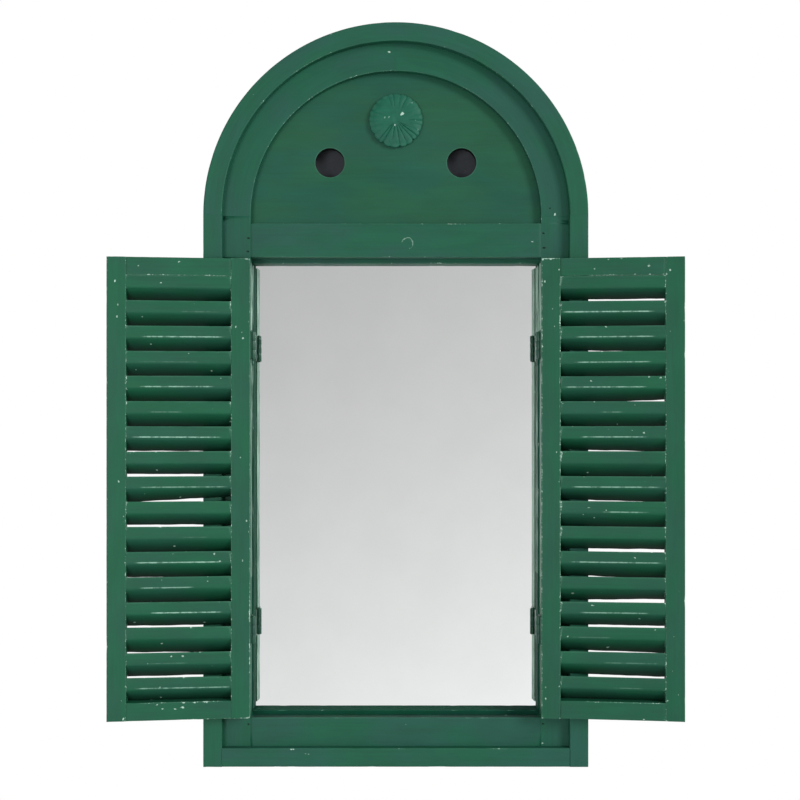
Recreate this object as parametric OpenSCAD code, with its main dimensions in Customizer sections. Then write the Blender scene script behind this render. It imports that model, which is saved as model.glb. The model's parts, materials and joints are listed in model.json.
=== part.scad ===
// Arched wall mirror behind a pair of louvred shutters.
// Millimetres. +X is to the right, +Z is up and the front faces -Y.
// The origin lies on the wall, midway between the two keyhole hangers.

/* [Case] */
// Width across the two side boards
frame_w = 390; // [360:1:440]
// Height from the bottom edge to the top of the arch
frame_h = 754; // [700:1:820]
// Depth of the case boards, from the wall to the rim
case_d = 42; // [40:1:50]
// Thickness of the case boards, seen from the front as the rim
rim_w = 19; // [17:1:24]
// Radius on the front edges of the case boards
rim_ease = 1.2; // [0.4:0.2:3]

/* [Face boards] */
// Distance from the rim back to the face boards
rim_step = 9; // [6:1:11]
// Thickness of the face boards
board_d = 28; // [27:0.5:29]
// Width of the stiles and of the arch boards
board_w = 28; // [24:1:34]
// Height of the rail between the mirror and the arch
cross_rail_h = 34.5; // [28:0.5:44]
// Height of the rail under the mirror
bottom_rail_h = 29; // [24:1:36]
// Straight part of the stiles between the cross rail and the arch
spring_rise = 7.5; // [4:0.5:14]
// Length of the tenons on the rails
tenon_l = 12; // [8:1:16]
// Thickness of the tenons on the rails
tenon_t = 7; // [5:0.5:8]
// Set-in of a tenon from the edges of its rail
tenon_shoulder = 8; // [6:0.5:10]

/* [Arched panel] */
// Thickness of the panel that fills the arch
panel_t = 9; // [7:0.5:10]
// Distance from the face boards back to the panel
panel_set = 8; // [6:0.5:9]
// Depth of the groove that holds the edge of the panel
groove_d = 5; // [4:0.5:7]
// Diameter of the two round holes
eye_d = 30; // [20:1:40]
// Distance between the centres of the holes
eye_spacing = 135; // [110:1:150]
// Height of the holes above the cross rail
eye_rise = 63.5; // [50:0.5:70]

/* [Rosette] */
// Diameter over the petals
rosette_d = 56; // [44:1:64]
// Height of the rosette off the panel
rosette_t = 7; // [5:0.5:9]
// Height of its centre above the cross rail
rosette_rise = 106; // [98:0.5:112]
// Number of petals
petal_count = 24; // [18:1:30]
// Depth of the grooves between the petals
groove_depth = 1.4; // [0.6:0.1:2]
// How far the edge is notched between two petals
petal_notch = 1.4; // [0.5:0.1:2.5]
// Diameter inside which the petals lie flat
crown_d = 32; // [24:0.5:38]
// Height of the petals' edge off the panel
petal_edge_t = 3.5; // [2.5:0.1:4.5]
// How far in from the edge the petals start to round over
petal_round = 4; // [2:0.5:5]
// Diameter of the dish in the middle
dish_d = 10; // [7:0.5:14]
// Depth of the dish
dish_depth = 1.6; // [0.6:0.1:3]

/* [Mirror] */
// Thickness of the glass
glass_t = 3; // [2:0.5:4]
// How far the glass laps behind the boards
glass_lap = 6; // [4:0.5:8]
// Thickness of the back panel
back_t = 3; // [2:0.5:3.5]
// Height of the stop beads at the top and bottom of the opening
stop_h = 4.5; // [3:0.5:6]
// Width of the thin stop beads at its sides
side_stop_w = 1.5; // [1:0.5:4]

/* [Shutters] */
// Thickness of a shutter
shutter_t = 14; // [13:0.5:15]
// Width of the shutter stiles
shutter_stile_w = 19; // [16:0.5:24]
// Height of the shutter rails
shutter_rail_h = 18; // [16:0.5:24]
// Gap above and below a closed shutter
shutter_clear = 4; // [2:0.5:6]
// Gap between the two closed shutters
meeting_gap = 2.4; // [2.2:0.1:6]
// Radius on the edges of the shutter wood
shutter_ease = 0.8; // [0.4:0.1:1.5]
// Wanted spacing of the slats
slat_pitch = 25; // [20:0.5:32]
// Height of the flat front of a slat
slat_face_h = 12.6; // [10:0.2:15]
// Height of the slit that stays open behind a slat
slat_slit = 0.8; // [0.4:0.1:2]
// Radius on the lower front edge of a slat
slat_nose = 1.6; // [0.6:0.1:2.4]
// Length of the stub tenons on the slats
slat_tenon_l = 5; // [3:0.5:8]
// Set-in of a stub tenon from the faces of its slat
slat_shoulder = 2; // [1.5:0.1:2.6]
// Length of the tenons on the shutter rails
shutter_tenon_l = 11; // [8:0.5:13]
// Thickness of the tenons on the shutter rails
shutter_tenon_t = 5; // [4:0.5:7]
// Set-in of a tenon from the edges of its shutter rail
shutter_shoulder = 3.5; // [2:0.5:5]

/* [Hinges] */
// Length of a hinge
hinge_l = 27; // [24:1:34]
// Distance from a shutter's end to the middle of its hinge
hinge_inset = 86; // [60:1:110]
// Diameter of the knuckles
barrel_d = 5.5; // [5:0.1:6.5]
// Thickness of a leaf
leaf_t = 1.2; // [0.8:0.1:1.5]
// Width of a leaf from the middle of its knuckles
leaf_w = 14; // [12:0.5:15]
// Diameter of the hinge pin
pin_d = 2.2; // [1.6:0.1:2.6]
// Radial clearance of the pin in the knuckles
pin_play = 0.05; // [0.02:0.01:0.08]
// Gap between an open shutter and the edge of the rim
rim_gap = 0.5; // [0.3:0.1:2]
// Distance of a hinge screw from the middle of its leaf
hinge_screw_off = 8.5; // [7:0.1:9.5]
// Length of a hinge screw
hinge_screw_l = 10; // [8:0.5:14]

/* [Hangers and tacks] */
// Distance of the hangers below the start of the arch
hanger_drop = 39; // [30:1:90]
// Width of a hanger plate
hanger_w = 15; // [14:0.5:16]
// Thickness of a hanger plate
hanger_t = 1.5; // [1:0.1:2]
// Diameter of the keyhole's mouth
keyhole_d = 9; // [8:0.1:9.5]
// Width of the keyhole's slot
keyhole_slot = 4.5; // [3.5:0.1:5]
// Rise of the slot above the mouth
keyhole_rise = 9; // [8:0.5:10]
// Distance of the back panel's tacks from its edge
tack_inset = 7; // [5:0.5:10]
// Length of a tack under its head
tack_l = 8; // [6:0.5:10]

/* [Hidden] */
$fn = 64;
eps = 0.01;          // overshoot of a cutter past the face it leaves
far = 2 * frame_h;   // longer than anything here, for cutters that run right through

rim_paint = [0.21, 0.41, 0.34];
board_paint = [0.19, 0.38, 0.31];
panel_paint = [0.18, 0.37, 0.29];
shutter_paint = [0.18, 0.41, 0.31];
slat_paint = [0.16, 0.37, 0.28];
rosette_paint = [0.24, 0.46, 0.37];
hardware_paint = [0.13, 0.29, 0.23];
glass_colour = [0.82, 0.84, 0.84];
hardboard = [0.20, 0.18, 0.19];
zinc = [0.66, 0.67, 0.68];

// clearances
end_gap = 0.5;       // past the end of a tenon, in its mortise
panel_gap = 0.3;     // between the arched panel and the bottom of its groove
glass_gap = 0.5;     // round the edges of the glass in its rebate
back_gap = 0.5;      // round the edges of the back panel
barrel_clear = 0.25; // between a knuckle and the wood beside it
leaf_clear = 0.3;    // between a knuckle and the other leaf
knuckle_gap = 0.2;   // between two knuckles on one pin
stop_play = 0.3;     // between a closed shutter and its stops
screw_play = 0.05;   // round a screw or a tack in its hole

// heights, from the arch down
arch_r = frame_w / 2;
inner_r = arch_r - rim_w;
arch_z = hanger_drop;
base_z = arch_z + arch_r - frame_h;
half_open_w = inner_r - board_w;
open_z0 = base_z + rim_w + bottom_rail_h;
cross_z1 = arch_z - spring_rise;
open_z1 = cross_z1 - cross_rail_h;

// depths, from the wall forwards
board_front = case_d - rim_step;
board_back = board_front - board_d;
glass_front = board_back + glass_t;
panel_front = board_front - panel_set;
panel_back = panel_front - panel_t;
back_outer = board_back - back_t;
tenon_back = (panel_back + glass_front) / 2;

// hinge axis of the left shutter; the right one is its mirror image
barrel_r = barrel_d / 2;
hinge_proud = barrel_r + barrel_clear;
axis_x = half_open_w - barrel_r;
axis_d = board_front + hinge_proud;

// a shutter in its own frame: u runs from the axis to the meeting edge, v from the axis to the inside face
shutter_u0 = barrel_r;
shutter_u1 = axis_x - meeting_gap / 2;
shutter_v0 = hinge_proud;
shutter_v1 = hinge_proud + shutter_t;
shutter_z0 = open_z0 + shutter_clear;
shutter_z1 = open_z1 - shutter_clear;
louvre_u0 = shutter_u0 + shutter_stile_w;
louvre_u1 = shutter_u1 - shutter_stile_w;
louvre_z0 = shutter_z0 + shutter_rail_h;
louvre_z1 = shutter_z1 - shutter_rail_h;
stop_front = board_front - shutter_t - stop_play;

// an open shutter leans off the wall until its outside face clears the edge of the rim
lean_run = inner_r - axis_x;
lean_rise = case_d - axis_d + rim_gap;
lean = acos(hinge_proud / norm([lean_run, lean_rise])) - atan2(lean_run, lean_rise);
open_angle = 180 - lean;

// slats: as many as fit the louvre at the wanted spacing, the spacing then made even
slat_count = round((louvre_z1 - louvre_z0) / slat_pitch);
slat_step = (louvre_z1 - louvre_z0) / slat_count;
slat_drop = slat_step - slat_face_h - slat_slit;

// hinges
hinge_zs = [shutter_z1 - hinge_inset, shutter_z0 + hinge_inset];
knuckle_l = hinge_l / 3;
pin_r = pin_d / 2;
pin_head_lip = 0.8;  // the head stands this far over the pin
pin_head_r = pin_r + pin_head_lip;
pin_head_t = 0.6;
hinge_screw_v = (hinge_proud + leaf_w) / 2;
hinge_screw_r = 0.9;
hinge_head_r = 2.1;

// hangers
hanger_x = arch_r - rim_w / 2;
hanger_low = 10;      // centre of the lower round end, below the mouth
hanger_high = 16;     // centre of the upper round end, above the mouth
hanger_screw_low = 12;
hanger_screw_high = 18;
hanger_screw_r = 1.4;
hanger_head_r = 2.8;
hanger_screw_l = 16;
pocket_play = 1;      // round a wall screw's head behind the keyhole
pocket_d = 10;

// tacks
tack_r = 0.7;
tack_head_r = 2.2;
tack_crown_r = 1.5;
tack_head_t = 0.8;
side_tacks = 6;
arch_tacks = 9;
bottom_tacks = 3;
tack_line = inner_r - tack_inset;
tack_z0 = base_z + rim_w + tack_inset;
tack_points = concat(
    [for (s = [-1, 1], i = [0 : side_tacks - 1])
        [s * tack_line, tack_z0 + (arch_z - tack_z0) * i / side_tacks]],
    [for (i = [0 : arch_tacks - 1]) let (a = 180 * i / (arch_tacks - 1))
        [tack_line * cos(a), arch_z + tack_line * sin(a)]],
    [for (i = [1 : bottom_tacks])
        [tack_line * (2 * i / (bottom_tacks + 1) - 1), tack_z0]]
);

// ---- helpers ----

// points of an arc, and of a corner that may be eased or left square
ease_steps = 4;
function arc(c, r, a0, a1) =
    [for (i = [0 : ease_steps]) let (a = a0 + (a1 - a0) * i / ease_steps) c + r * [cos(a), sin(a)]];
function corner(p, to_centre, r, a0) = r > 0 ? arc(p + r * to_centre, r, a0, a0 + 90) : [p];

// rectangle from low corner a to high corner b; r is the radius of its corners, from the high one round
function eased(a, b, r) = concat(
    corner(b, [-1, -1], r[0], 0),
    corner([a.x, b.y], [1, -1], r[1], 90),
    corner(a, [1, 1], r[2], 180),
    corner([b.x, a.y], [-1, 1], r[3], 270)
);

// a front view (x, z) made solid between two depths from the wall
module slab(d0, d1) translate([0, -d0, 0]) rotate([90, 0, 0]) linear_extrude(d1 - d0) children();

// a box by its ranges across, in depth from the wall, and in height
module block(x, d, z) translate([x[0], -d[1], z[0]]) cube([x[1] - x[0], d[1] - d[0], z[1] - z[0]]);

// a box in a shutter's own frame
module bar(u, v, z) translate([u[0], v[0], z[0]]) cube([u[1] - u[0], v[1] - v[0], z[1] - z[0]]);

// a section drawn as (v, z) and run along u
module along_u(u0, u1) translate([u0, 0, 0]) rotate([90, 0, 90]) linear_extrude(u1 - u0) children();

// a round bar along +X from the origin
module x_rod(r, l) rotate([0, 90, 0]) cylinder(r = r, h = l);

module right_side() mirror([1, 0, 0]) children();

// from a hinge axis's own frame to its place on the case, and to an open shutter
module at_axis() translate([-axis_x, -axis_d, 0]) children();
module hung() at_axis() rotate([0, 0, -open_angle]) children();

// the arched outline inside a radius, down to a height
module arch_outline(r, z0) {
    translate([0, arch_z]) circle(r = r, $fn = 180);
    translate([-r, z0]) square([2 * r, arch_z - z0]);
}
module arched(r, z0) intersection() {
    arch_outline(r, z0);
    translate([-far / 2, z0]) square([far, far]);
}

// a countersunk wood screw along +X, its head flush at the origin; play makes its hole
module screw(r, head_r, l, play = 0) {
    x_rod(r + play, l + play);
    rotate([0, 90, 0]) cylinder(r1 = head_r + play, r2 = r + play, h = head_r - r);
}
module slotted_screw(r, head_r, l) {
    slot_w = head_r / 5;
    difference() {
        screw(r, head_r, l);
        translate([-eps, -head_r, -slot_w / 2]) cube([slot_w, 2 * head_r, slot_w]);
    }
}

// ---- case ----

module rim_section() polygon(eased([inner_r, 0], [arch_r, case_d], [rim_ease, rim_ease, 0, 0]));

module case_side() color(rim_paint) difference() {
    translate([0, 0, base_z]) linear_extrude(arch_z - base_z) mirror([0, 1]) rim_section();
    hanger_recess();
}
module case_left_side() mirror([1, 0, 0]) case_side();
module case_right_side() case_side();

module case_bottom() color(rim_paint)
    translate([-inner_r, 0, base_z]) rotate([90, 0, 90])
        linear_extrude(2 * inner_r) mirror([1, 0])
            polygon(eased([0, 0], [case_d, rim_w], [rim_ease, 0, 0, rim_ease]));

module case_arch() color(rim_paint)
    translate([0, 0, arch_z]) rotate([90, 0, 0]) rotate_extrude(angle = 180, $fn = 180) rim_section();

// ---- face boards ----

module glass_rebate() block([-half_open_w - glass_lap, half_open_w + glass_lap],
    [board_back - eps, glass_front], [open_z0 - glass_lap, open_z1 + glass_lap]);
module panel_groove() slab(panel_back, panel_front) arched(half_open_w + groove_d, cross_z1 - groove_d);
module tack_holes() for (p = tack_points)
    translate([p[0], -back_outer, p[1]]) rotate([90, 0, 0]) cylinder(r = tack_r + screw_play, h = tack_l + eps);

// a rail's tenons in its stiles; gap lengthens them to their mortises
module rail_tenons(z0, z1, gap = 0) block([-half_open_w - tenon_l - gap, half_open_w + tenon_l + gap],
    [tenon_back, tenon_back + tenon_t], [z0 + tenon_shoulder, z1 - tenon_shoulder]);

module cross_tenons(gap = 0) rail_tenons(open_z1, cross_z1, gap);
module bottom_tenons(gap = 0) rail_tenons(base_z + rim_w, open_z0, gap);

module face_stile() color(board_paint) difference() {
    block([-inner_r, -half_open_w], [board_back, board_front], [base_z + rim_w, arch_z]);
    glass_rebate();
    panel_groove();
    tack_holes();
    cross_tenons(end_gap);
    bottom_tenons(end_gap);
    at_axis() frame_screws(screw_play);
}
module face_left_stile() face_stile();
module face_right_stile() right_side() face_stile();

module arch_board() color(board_paint) difference() {
    slab(board_back, board_front) intersection() {
        translate([0, arch_z]) difference() {
            circle(r = inner_r, $fn = 180);
            circle(r = half_open_w, $fn = 180);
        }
        translate([-far, arch_z]) square([far, far]);
    }
    panel_groove();
    tack_holes();
}
module face_arch_left() arch_board();
module face_arch_right() right_side() arch_board();

module face_cross_rail() color(board_paint) difference() {
    union() {
        block([-half_open_w, half_open_w], [board_back, board_front], [open_z1, cross_z1]);
        cross_tenons();
    }
    glass_rebate();
    panel_groove();
}

module face_bottom_rail() color(board_paint) difference() {
    union() {
        block([-half_open_w, half_open_w], [board_back, board_front], [base_z + rim_w, open_z0]);
        bottom_tenons();
    }
    glass_rebate();
    tack_holes();
}

// ---- arched panel and rosette ----

module tympanum_panel() color(panel_paint) slab(panel_back, panel_front) difference() {
    arched(half_open_w + groove_d - panel_gap, cross_z1 - groove_d + panel_gap);
    for (s = [-1, 1]) translate([s * eye_spacing / 2, cross_z1 + eye_rise]) circle(d = eye_d);
}

// swell is 0 in the groove between two petals and 1 along the middle of one
rosette_r = rosette_d / 2;
petal_steps = 4;
ring_points = petal_count * petal_steps;
function swell(j) = sin(180 * (j % petal_steps) / petal_steps);

// rings from the dish outwards: radius, height, how deep the groove is there, how far the edge is notched there
petal_fall = 1;      // from the crown to where the petals round over
petal_rings = [
    [dish_d / 2, rosette_t, groove_depth / 4, 0],
    [crown_d / 2, rosette_t, groove_depth, 0],
    [rosette_r - petal_round, rosette_t - petal_fall, groove_depth, petal_notch / 4],
    [rosette_r, petal_edge_t, groove_depth / 2, petal_notch],
    [rosette_r, 0, 0, petal_notch]
];
function ring_point(ring, j) = let (
        a = 360 * j / ring_points,
        gap = 1 - swell(j),
        r = ring[0] - ring[3] * gap
    ) [r * cos(a), r * sin(a), ring[1] - ring[2] * gap];
function ring_index(k, j) = 1 + k * ring_points + j % ring_points;
rosette_last = 1 + len(petal_rings) * ring_points;
rosette_points = concat(
    [[0, 0, rosette_t - dish_depth]],
    [for (ring = petal_rings, j = [0 : ring_points - 1]) ring_point(ring, j)],
    [[0, 0, 0]]
);
rosette_faces = concat(
    [for (j = [0 : ring_points - 1]) [0, ring_index(0, j + 1), ring_index(0, j)]],
    [for (k = [0 : len(petal_rings) - 2], j = [0 : ring_points - 1], half = [0, 1]) half == 0
        ? [ring_index(k, j), ring_index(k, j + 1), ring_index(k + 1, j)]
        : [ring_index(k, j + 1), ring_index(k + 1, j + 1), ring_index(k + 1, j)]],
    [for (j = [0 : ring_points - 1])
        [rosette_last, ring_index(len(petal_rings) - 1, j), ring_index(len(petal_rings) - 1, j + 1)]]
);
module rosette() color(rosette_paint) translate([0, -panel_front, cross_z1 + rosette_rise])
    rotate([90, 0, 0]) polyhedron(rosette_points, rosette_faces);

// ---- glass, back and stops ----

module mirror_glass() color(glass_colour) block(
    [-half_open_w - glass_lap + glass_gap, half_open_w + glass_lap - glass_gap],
    [board_back, glass_front],
    [open_z0 - glass_lap + glass_gap, open_z1 + glass_lap - glass_gap]);

module back_panel() color(hardboard) difference() {
    slab(back_outer, board_back) arched(inner_r - back_gap, base_z + rim_w + back_gap);
    tack_holes();
}

module back_panel_tacks() color(zinc) for (p = tack_points)
    translate([p[0], -back_outer, p[1]]) rotate([90, 0, 0]) {
        cylinder(r = tack_r, h = tack_l);
        translate([0, 0, -tack_head_t]) cylinder(r1 = tack_crown_r, r2 = tack_head_r, h = tack_head_t);
    }

stop_d = [glass_front, stop_front];
module stop_top() color(board_paint)
    block([-half_open_w, half_open_w], stop_d, [open_z1 - stop_h, open_z1]);
module stop_bottom() color(board_paint)
    block([-half_open_w, half_open_w], stop_d, [open_z0, open_z0 + stop_h]);
module stop_left() color(board_paint)
    block([-half_open_w, -half_open_w + side_stop_w], stop_d, [open_z0 + stop_h, open_z1 - stop_h]);
module stop_right() right_side() stop_left();

// ---- hinges: leaves, pins and screws, each round the axis ----

module barrel(z0, z1, grow = 0) translate([0, 0, z0]) cylinder(r = barrel_r + grow, h = z1 - z0);
module pin_bore() translate([0, 0, -hinge_l]) cylinder(r = pin_r + pin_play, h = 2 * hinge_l);
module leaf_plate(u0) bar([u0, u0 + leaf_t], [0, leaf_w], [-hinge_l / 2, hinge_l / 2]);

// two screws through a leaf, heads on the side that faces the gap; toward is -1 into the stile, 1 into the shutter
module leaf_screws(toward, play = 0) for (s = [-1, 1])
    translate([toward * (barrel_r - leaf_t), hinge_screw_v, s * hinge_screw_off])
        mirror([toward < 0 ? 1 : 0, 0, 0])
            if (play > 0) screw(hinge_screw_r, hinge_head_r, hinge_screw_l, play);
            else slotted_screw(hinge_screw_r, hinge_head_r, hinge_screw_l);

module frame_leaf() color(hardware_paint) difference() {
    union() {
        difference() {
            leaf_plate(-barrel_r);
            barrel(-knuckle_l / 2 - knuckle_gap / 2, knuckle_l / 2 + knuckle_gap / 2, leaf_clear);
        }
        barrel(knuckle_l / 2 + knuckle_gap / 2, hinge_l / 2);
        barrel(-hinge_l / 2, -knuckle_l / 2 - knuckle_gap / 2);
    }
    pin_bore();
    leaf_screws(-1, screw_play);
}

module shutter_leaf() color(hardware_paint) difference() {
    union() {
        difference() {
            leaf_plate(barrel_r - leaf_t);
            for (s = [-1, 1]) translate([0, 0, s * hinge_l / 2])
                barrel(-knuckle_l - knuckle_gap / 2, knuckle_l + knuckle_gap / 2, leaf_clear);
        }
        barrel(-knuckle_l / 2 + knuckle_gap / 2, knuckle_l / 2 - knuckle_gap / 2);
    }
    pin_bore();
    leaf_screws(1, screw_play);
}

module hinge_pin() color(hardware_paint) {
    translate([0, 0, -hinge_l / 2]) cylinder(r = pin_r, h = hinge_l);
    translate([0, 0, hinge_l / 2]) cylinder(r1 = pin_head_r, r2 = pin_r, h = pin_head_t);
    translate([0, 0, -hinge_l / 2 - pin_head_t]) cylinder(r1 = pin_r, r2 = pin_head_r, h = pin_head_t);
}

module at_hinge(i) translate([0, 0, hinge_zs[i]]) children();
module frame_screws(play = 0) for (i = [0, 1]) at_hinge(i) leaf_screws(-1, play);
module shutter_screws(play = 0) for (i = [0, 1]) at_hinge(i) leaf_screws(1, play);

module left_upper_frame_leaf() at_axis() at_hinge(0) frame_leaf();
module left_lower_frame_leaf() at_axis() at_hinge(1) frame_leaf();
module right_upper_frame_leaf() right_side() left_upper_frame_leaf();
module right_lower_frame_leaf() right_side() left_lower_frame_leaf();
module left_upper_hinge_pin() at_axis() at_hinge(0) hinge_pin();
module left_lower_hinge_pin() at_axis() at_hinge(1) hinge_pin();
module right_upper_hinge_pin() right_side() left_upper_hinge_pin();
module right_lower_hinge_pin() right_side() left_lower_hinge_pin();
module frame_hinge_screws() color(hardware_paint) {
    at_axis() frame_screws();
    right_side() at_axis() frame_screws();
}

// ---- hangers, let into the back of the side boards ----

// plate outline round the keyhole's mouth, and the keyhole with room round it
module hanger_outline() {
    for (z = [-hanger_low, hanger_high]) translate([0, z]) circle(d = hanger_w);
    translate([-hanger_w / 2, -hanger_low]) square([hanger_w, hanger_low + hanger_high]);
}
module round_slot(d, rise) {
    for (z = [0, rise]) translate([0, z]) circle(d = d);
    translate([-d / 2, 0]) square([d, rise]);
}
module hanger_screws_at(play = 0) for (z = [-hanger_screw_low, hanger_screw_high])
    translate([hanger_x, 0, z]) rotate([0, 0, -90])
        if (play > 0) screw(hanger_screw_r, hanger_head_r, hanger_screw_l, play);
        else slotted_screw(hanger_screw_r, hanger_head_r, hanger_screw_l);

module hanger_recess() {
    translate([hanger_x, eps, 0]) slab(0, hanger_t + eps) hanger_outline();
    translate([hanger_x, 0, 0]) slab(hanger_t - eps, pocket_d) round_slot(keyhole_d + 2 * pocket_play, keyhole_rise);
    hanger_screws_at(screw_play);
}
module hanger_plate() color(zinc) difference() {
    translate([hanger_x, 0, 0]) slab(0, hanger_t) difference() {
        hanger_outline();
        circle(d = keyhole_d);
        round_slot(keyhole_slot, keyhole_rise);
    }
    hanger_screws_at(screw_play);
}
module right_hanger_plate() hanger_plate();
module left_hanger_plate() mirror([1, 0, 0]) hanger_plate();
module hanger_screws() color(zinc) {
    hanger_screws_at();
    mirror([1, 0, 0]) hanger_screws_at();
}

// ---- shutters, drawn round the hinge axis as if closed ----

function wood(u, v) = eased([u[0], v[0]], [u[1], v[1]], [for (i = [1 : 4]) shutter_ease]);

module shutter_post(u0) translate([0, 0, shutter_z0]) linear_extrude(shutter_z1 - shutter_z0)
    polygon(wood([u0, u0 + shutter_stile_w], [shutter_v0, shutter_v1]));

// tenons of the rail that starts at z0
module shutter_tenons(z0, gap = 0) bar(
    [louvre_u0 - shutter_tenon_l - gap, louvre_u1 + shutter_tenon_l + gap],
    [shutter_v0 + (shutter_t - shutter_tenon_t) / 2, shutter_v0 + (shutter_t + shutter_tenon_t) / 2],
    [z0 + shutter_shoulder, z0 + shutter_rail_h - shutter_shoulder]);

module shutter_rail(z0) color(shutter_paint) {
    along_u(louvre_u0, louvre_u1) polygon(wood([shutter_v0, shutter_v1], [z0, z0 + shutter_rail_h]));
    shutter_tenons(z0);
}

// a slat slopes down from the inside face to the outside face; z is the top of its front
function slat_line(v, z) = z - (shutter_v1 - v) * slat_drop / shutter_t;
function nose(z) = let (
        a = atan2(slat_drop, shutter_t),
        back = slat_nose * tan((90 - a) / 2),
        c = [shutter_v1 - slat_nose, z - slat_face_h + back]
    ) arc(c, slat_nose, 0, -(90 - a));
module slat_section(z) polygon(concat(
    [[shutter_v1, z], [shutter_v0, slat_line(shutter_v0, z)],
        [shutter_v0, slat_line(shutter_v0, z - slat_face_h)]],
    [for (i = [ease_steps : -1 : 0]) nose(z)[i]]));

// the stub tenon is a smaller section of the same slope
module stub_section(z) let (v0 = shutter_v0 + slat_shoulder, v1 = shutter_v1 - slat_shoulder) polygon([
    [v1, slat_line(v1, z - slat_shoulder)], [v0, slat_line(v0, z - slat_shoulder)],
    [v0, slat_line(v0, z - slat_face_h + slat_shoulder)], [v1, slat_line(v1, z - slat_face_h + slat_shoulder)]]);

module slat_stubs(gap = 0) for (i = [0 : slat_count - 1])
    along_u(louvre_u0 - slat_tenon_l - gap, louvre_u1 + slat_tenon_l + gap)
        stub_section(louvre_z1 - i * slat_step);

module slats() color(slat_paint) for (i = [0 : slat_count - 1]) let (z = louvre_z1 - i * slat_step) {
    along_u(louvre_u0, louvre_u1) slat_section(z);
    along_u(louvre_u0 - slat_tenon_l, louvre_u1 + slat_tenon_l) stub_section(z);
}

module shutter_mortises() {
    shutter_tenons(shutter_z0, end_gap);
    shutter_tenons(louvre_z1, end_gap);
    slat_stubs(end_gap);
}
module hinge_stile() color(shutter_paint) difference() {
    shutter_post(shutter_u0);
    shutter_mortises();
    shutter_screws(screw_play);
}
module meeting_stile() color(shutter_paint) difference() {
    shutter_post(louvre_u1);
    shutter_mortises();
}

module left_hinge_stile() hung() hinge_stile();
module left_meeting_stile() hung() meeting_stile();
module left_top_rail() hung() shutter_rail(louvre_z1);
module left_bottom_rail() hung() shutter_rail(shutter_z0);
module left_slats() hung() slats();
module left_upper_shutter_leaf() hung() at_hinge(0) shutter_leaf();
module left_lower_shutter_leaf() hung() at_hinge(1) shutter_leaf();
module left_hinge_screws() hung() color(hardware_paint) shutter_screws();

module right_hinge_stile() right_side() left_hinge_stile();
module right_meeting_stile() right_side() left_meeting_stile();
module right_top_rail() right_side() left_top_rail();
module right_bottom_rail() right_side() left_bottom_rail();
module right_slats() right_side() left_slats();
module right_upper_shutter_leaf() right_side() left_upper_shutter_leaf();
module right_lower_shutter_leaf() right_side() left_lower_shutter_leaf();
module right_hinge_screws() right_side() left_hinge_screws();

case_left_side();
case_right_side();
case_bottom();
case_arch();
face_left_stile();
face_right_stile();
face_arch_left();
face_arch_right();
face_cross_rail();
face_bottom_rail();
tympanum_panel();
rosette();
mirror_glass();
back_panel();
back_panel_tacks();
stop_top();
stop_bottom();
stop_left();
stop_right();
left_upper_frame_leaf();
left_lower_frame_leaf();
right_upper_frame_leaf();
right_lower_frame_leaf();
left_upper_hinge_pin();
left_lower_hinge_pin();
right_upper_hinge_pin();
right_lower_hinge_pin();
frame_hinge_screws();
left_hanger_plate();
right_hanger_plate();
hanger_screws();
left_hinge_stile();
left_meeting_stile();
left_top_rail();
left_bottom_rail();
left_slats();
left_upper_shutter_leaf();
left_lower_shutter_leaf();
left_hinge_screws();
right_hinge_stile();
right_meeting_stile();
right_top_rail();
right_bottom_rail();
right_slats();
right_upper_shutter_leaf();
right_lower_shutter_leaf();
right_hinge_screws();
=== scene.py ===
import json
import math
import random

import bmesh
import bpy
from mathutils import Matrix, Vector, noise


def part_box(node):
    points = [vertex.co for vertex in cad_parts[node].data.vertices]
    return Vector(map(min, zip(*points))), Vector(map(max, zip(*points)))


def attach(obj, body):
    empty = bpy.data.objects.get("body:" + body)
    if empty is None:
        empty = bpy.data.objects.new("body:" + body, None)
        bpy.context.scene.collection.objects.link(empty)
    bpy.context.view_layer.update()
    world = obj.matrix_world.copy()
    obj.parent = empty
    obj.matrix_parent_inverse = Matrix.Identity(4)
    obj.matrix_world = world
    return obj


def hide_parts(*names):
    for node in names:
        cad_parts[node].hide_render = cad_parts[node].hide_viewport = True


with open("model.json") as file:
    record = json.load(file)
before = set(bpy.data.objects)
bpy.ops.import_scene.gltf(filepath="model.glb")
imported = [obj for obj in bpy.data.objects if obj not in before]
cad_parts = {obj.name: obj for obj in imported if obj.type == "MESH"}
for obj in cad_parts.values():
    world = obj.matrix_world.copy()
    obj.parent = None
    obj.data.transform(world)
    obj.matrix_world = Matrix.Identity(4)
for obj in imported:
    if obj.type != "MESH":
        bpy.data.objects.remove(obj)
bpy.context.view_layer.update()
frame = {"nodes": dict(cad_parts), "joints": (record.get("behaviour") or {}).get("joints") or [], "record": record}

nodes = frame["nodes"]
mm = 0.001
print("frame loaded:", len(nodes), "nodes")

# places taken from the frame
leftAxis = next(Vector(j["pos_m"]) for j in frame["joints"] if j["child"] == "left_shutter")
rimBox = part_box("case_right_side")
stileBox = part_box("face_left_stile")
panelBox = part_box("tympanum_panel")
archR = rimBox[1].x
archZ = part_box("case_arch")[1].z - archR
rimInner = rimBox[0].x
openX = -stileBox[1].x
rimFront = -rimBox[0].y
boardFront = -stileBox[0].y
boardBack = -stileBox[1].y
panelFront = -panelBox[0].y
panelBack = -panelBox[1].y
baseZ = rimBox[0].z
eyeHoles = [(Vector(o["box_m"][0]) + Vector(o["box_m"][1])) / 2
            for o in frame["record"]["physics"]["openings"] if "eye" in o["name"]]
eyeR = 15 * mm

shutterFit = {
    "hingeProud": 3.0 * mm,   # axis to the outside face
    "rimGap": 0.5 * mm,       # open shutter to the edge of the rim
}
leanRun = rimInner + leftAxis.x
leanRise = rimFront + leftAxis.y + shutterFit["rimGap"]
lean = math.acos(shutterFit["hingeProud"] / math.hypot(leanRun, leanRise)) - math.atan2(leanRun, leanRise)
openAngle = math.pi - lean

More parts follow.
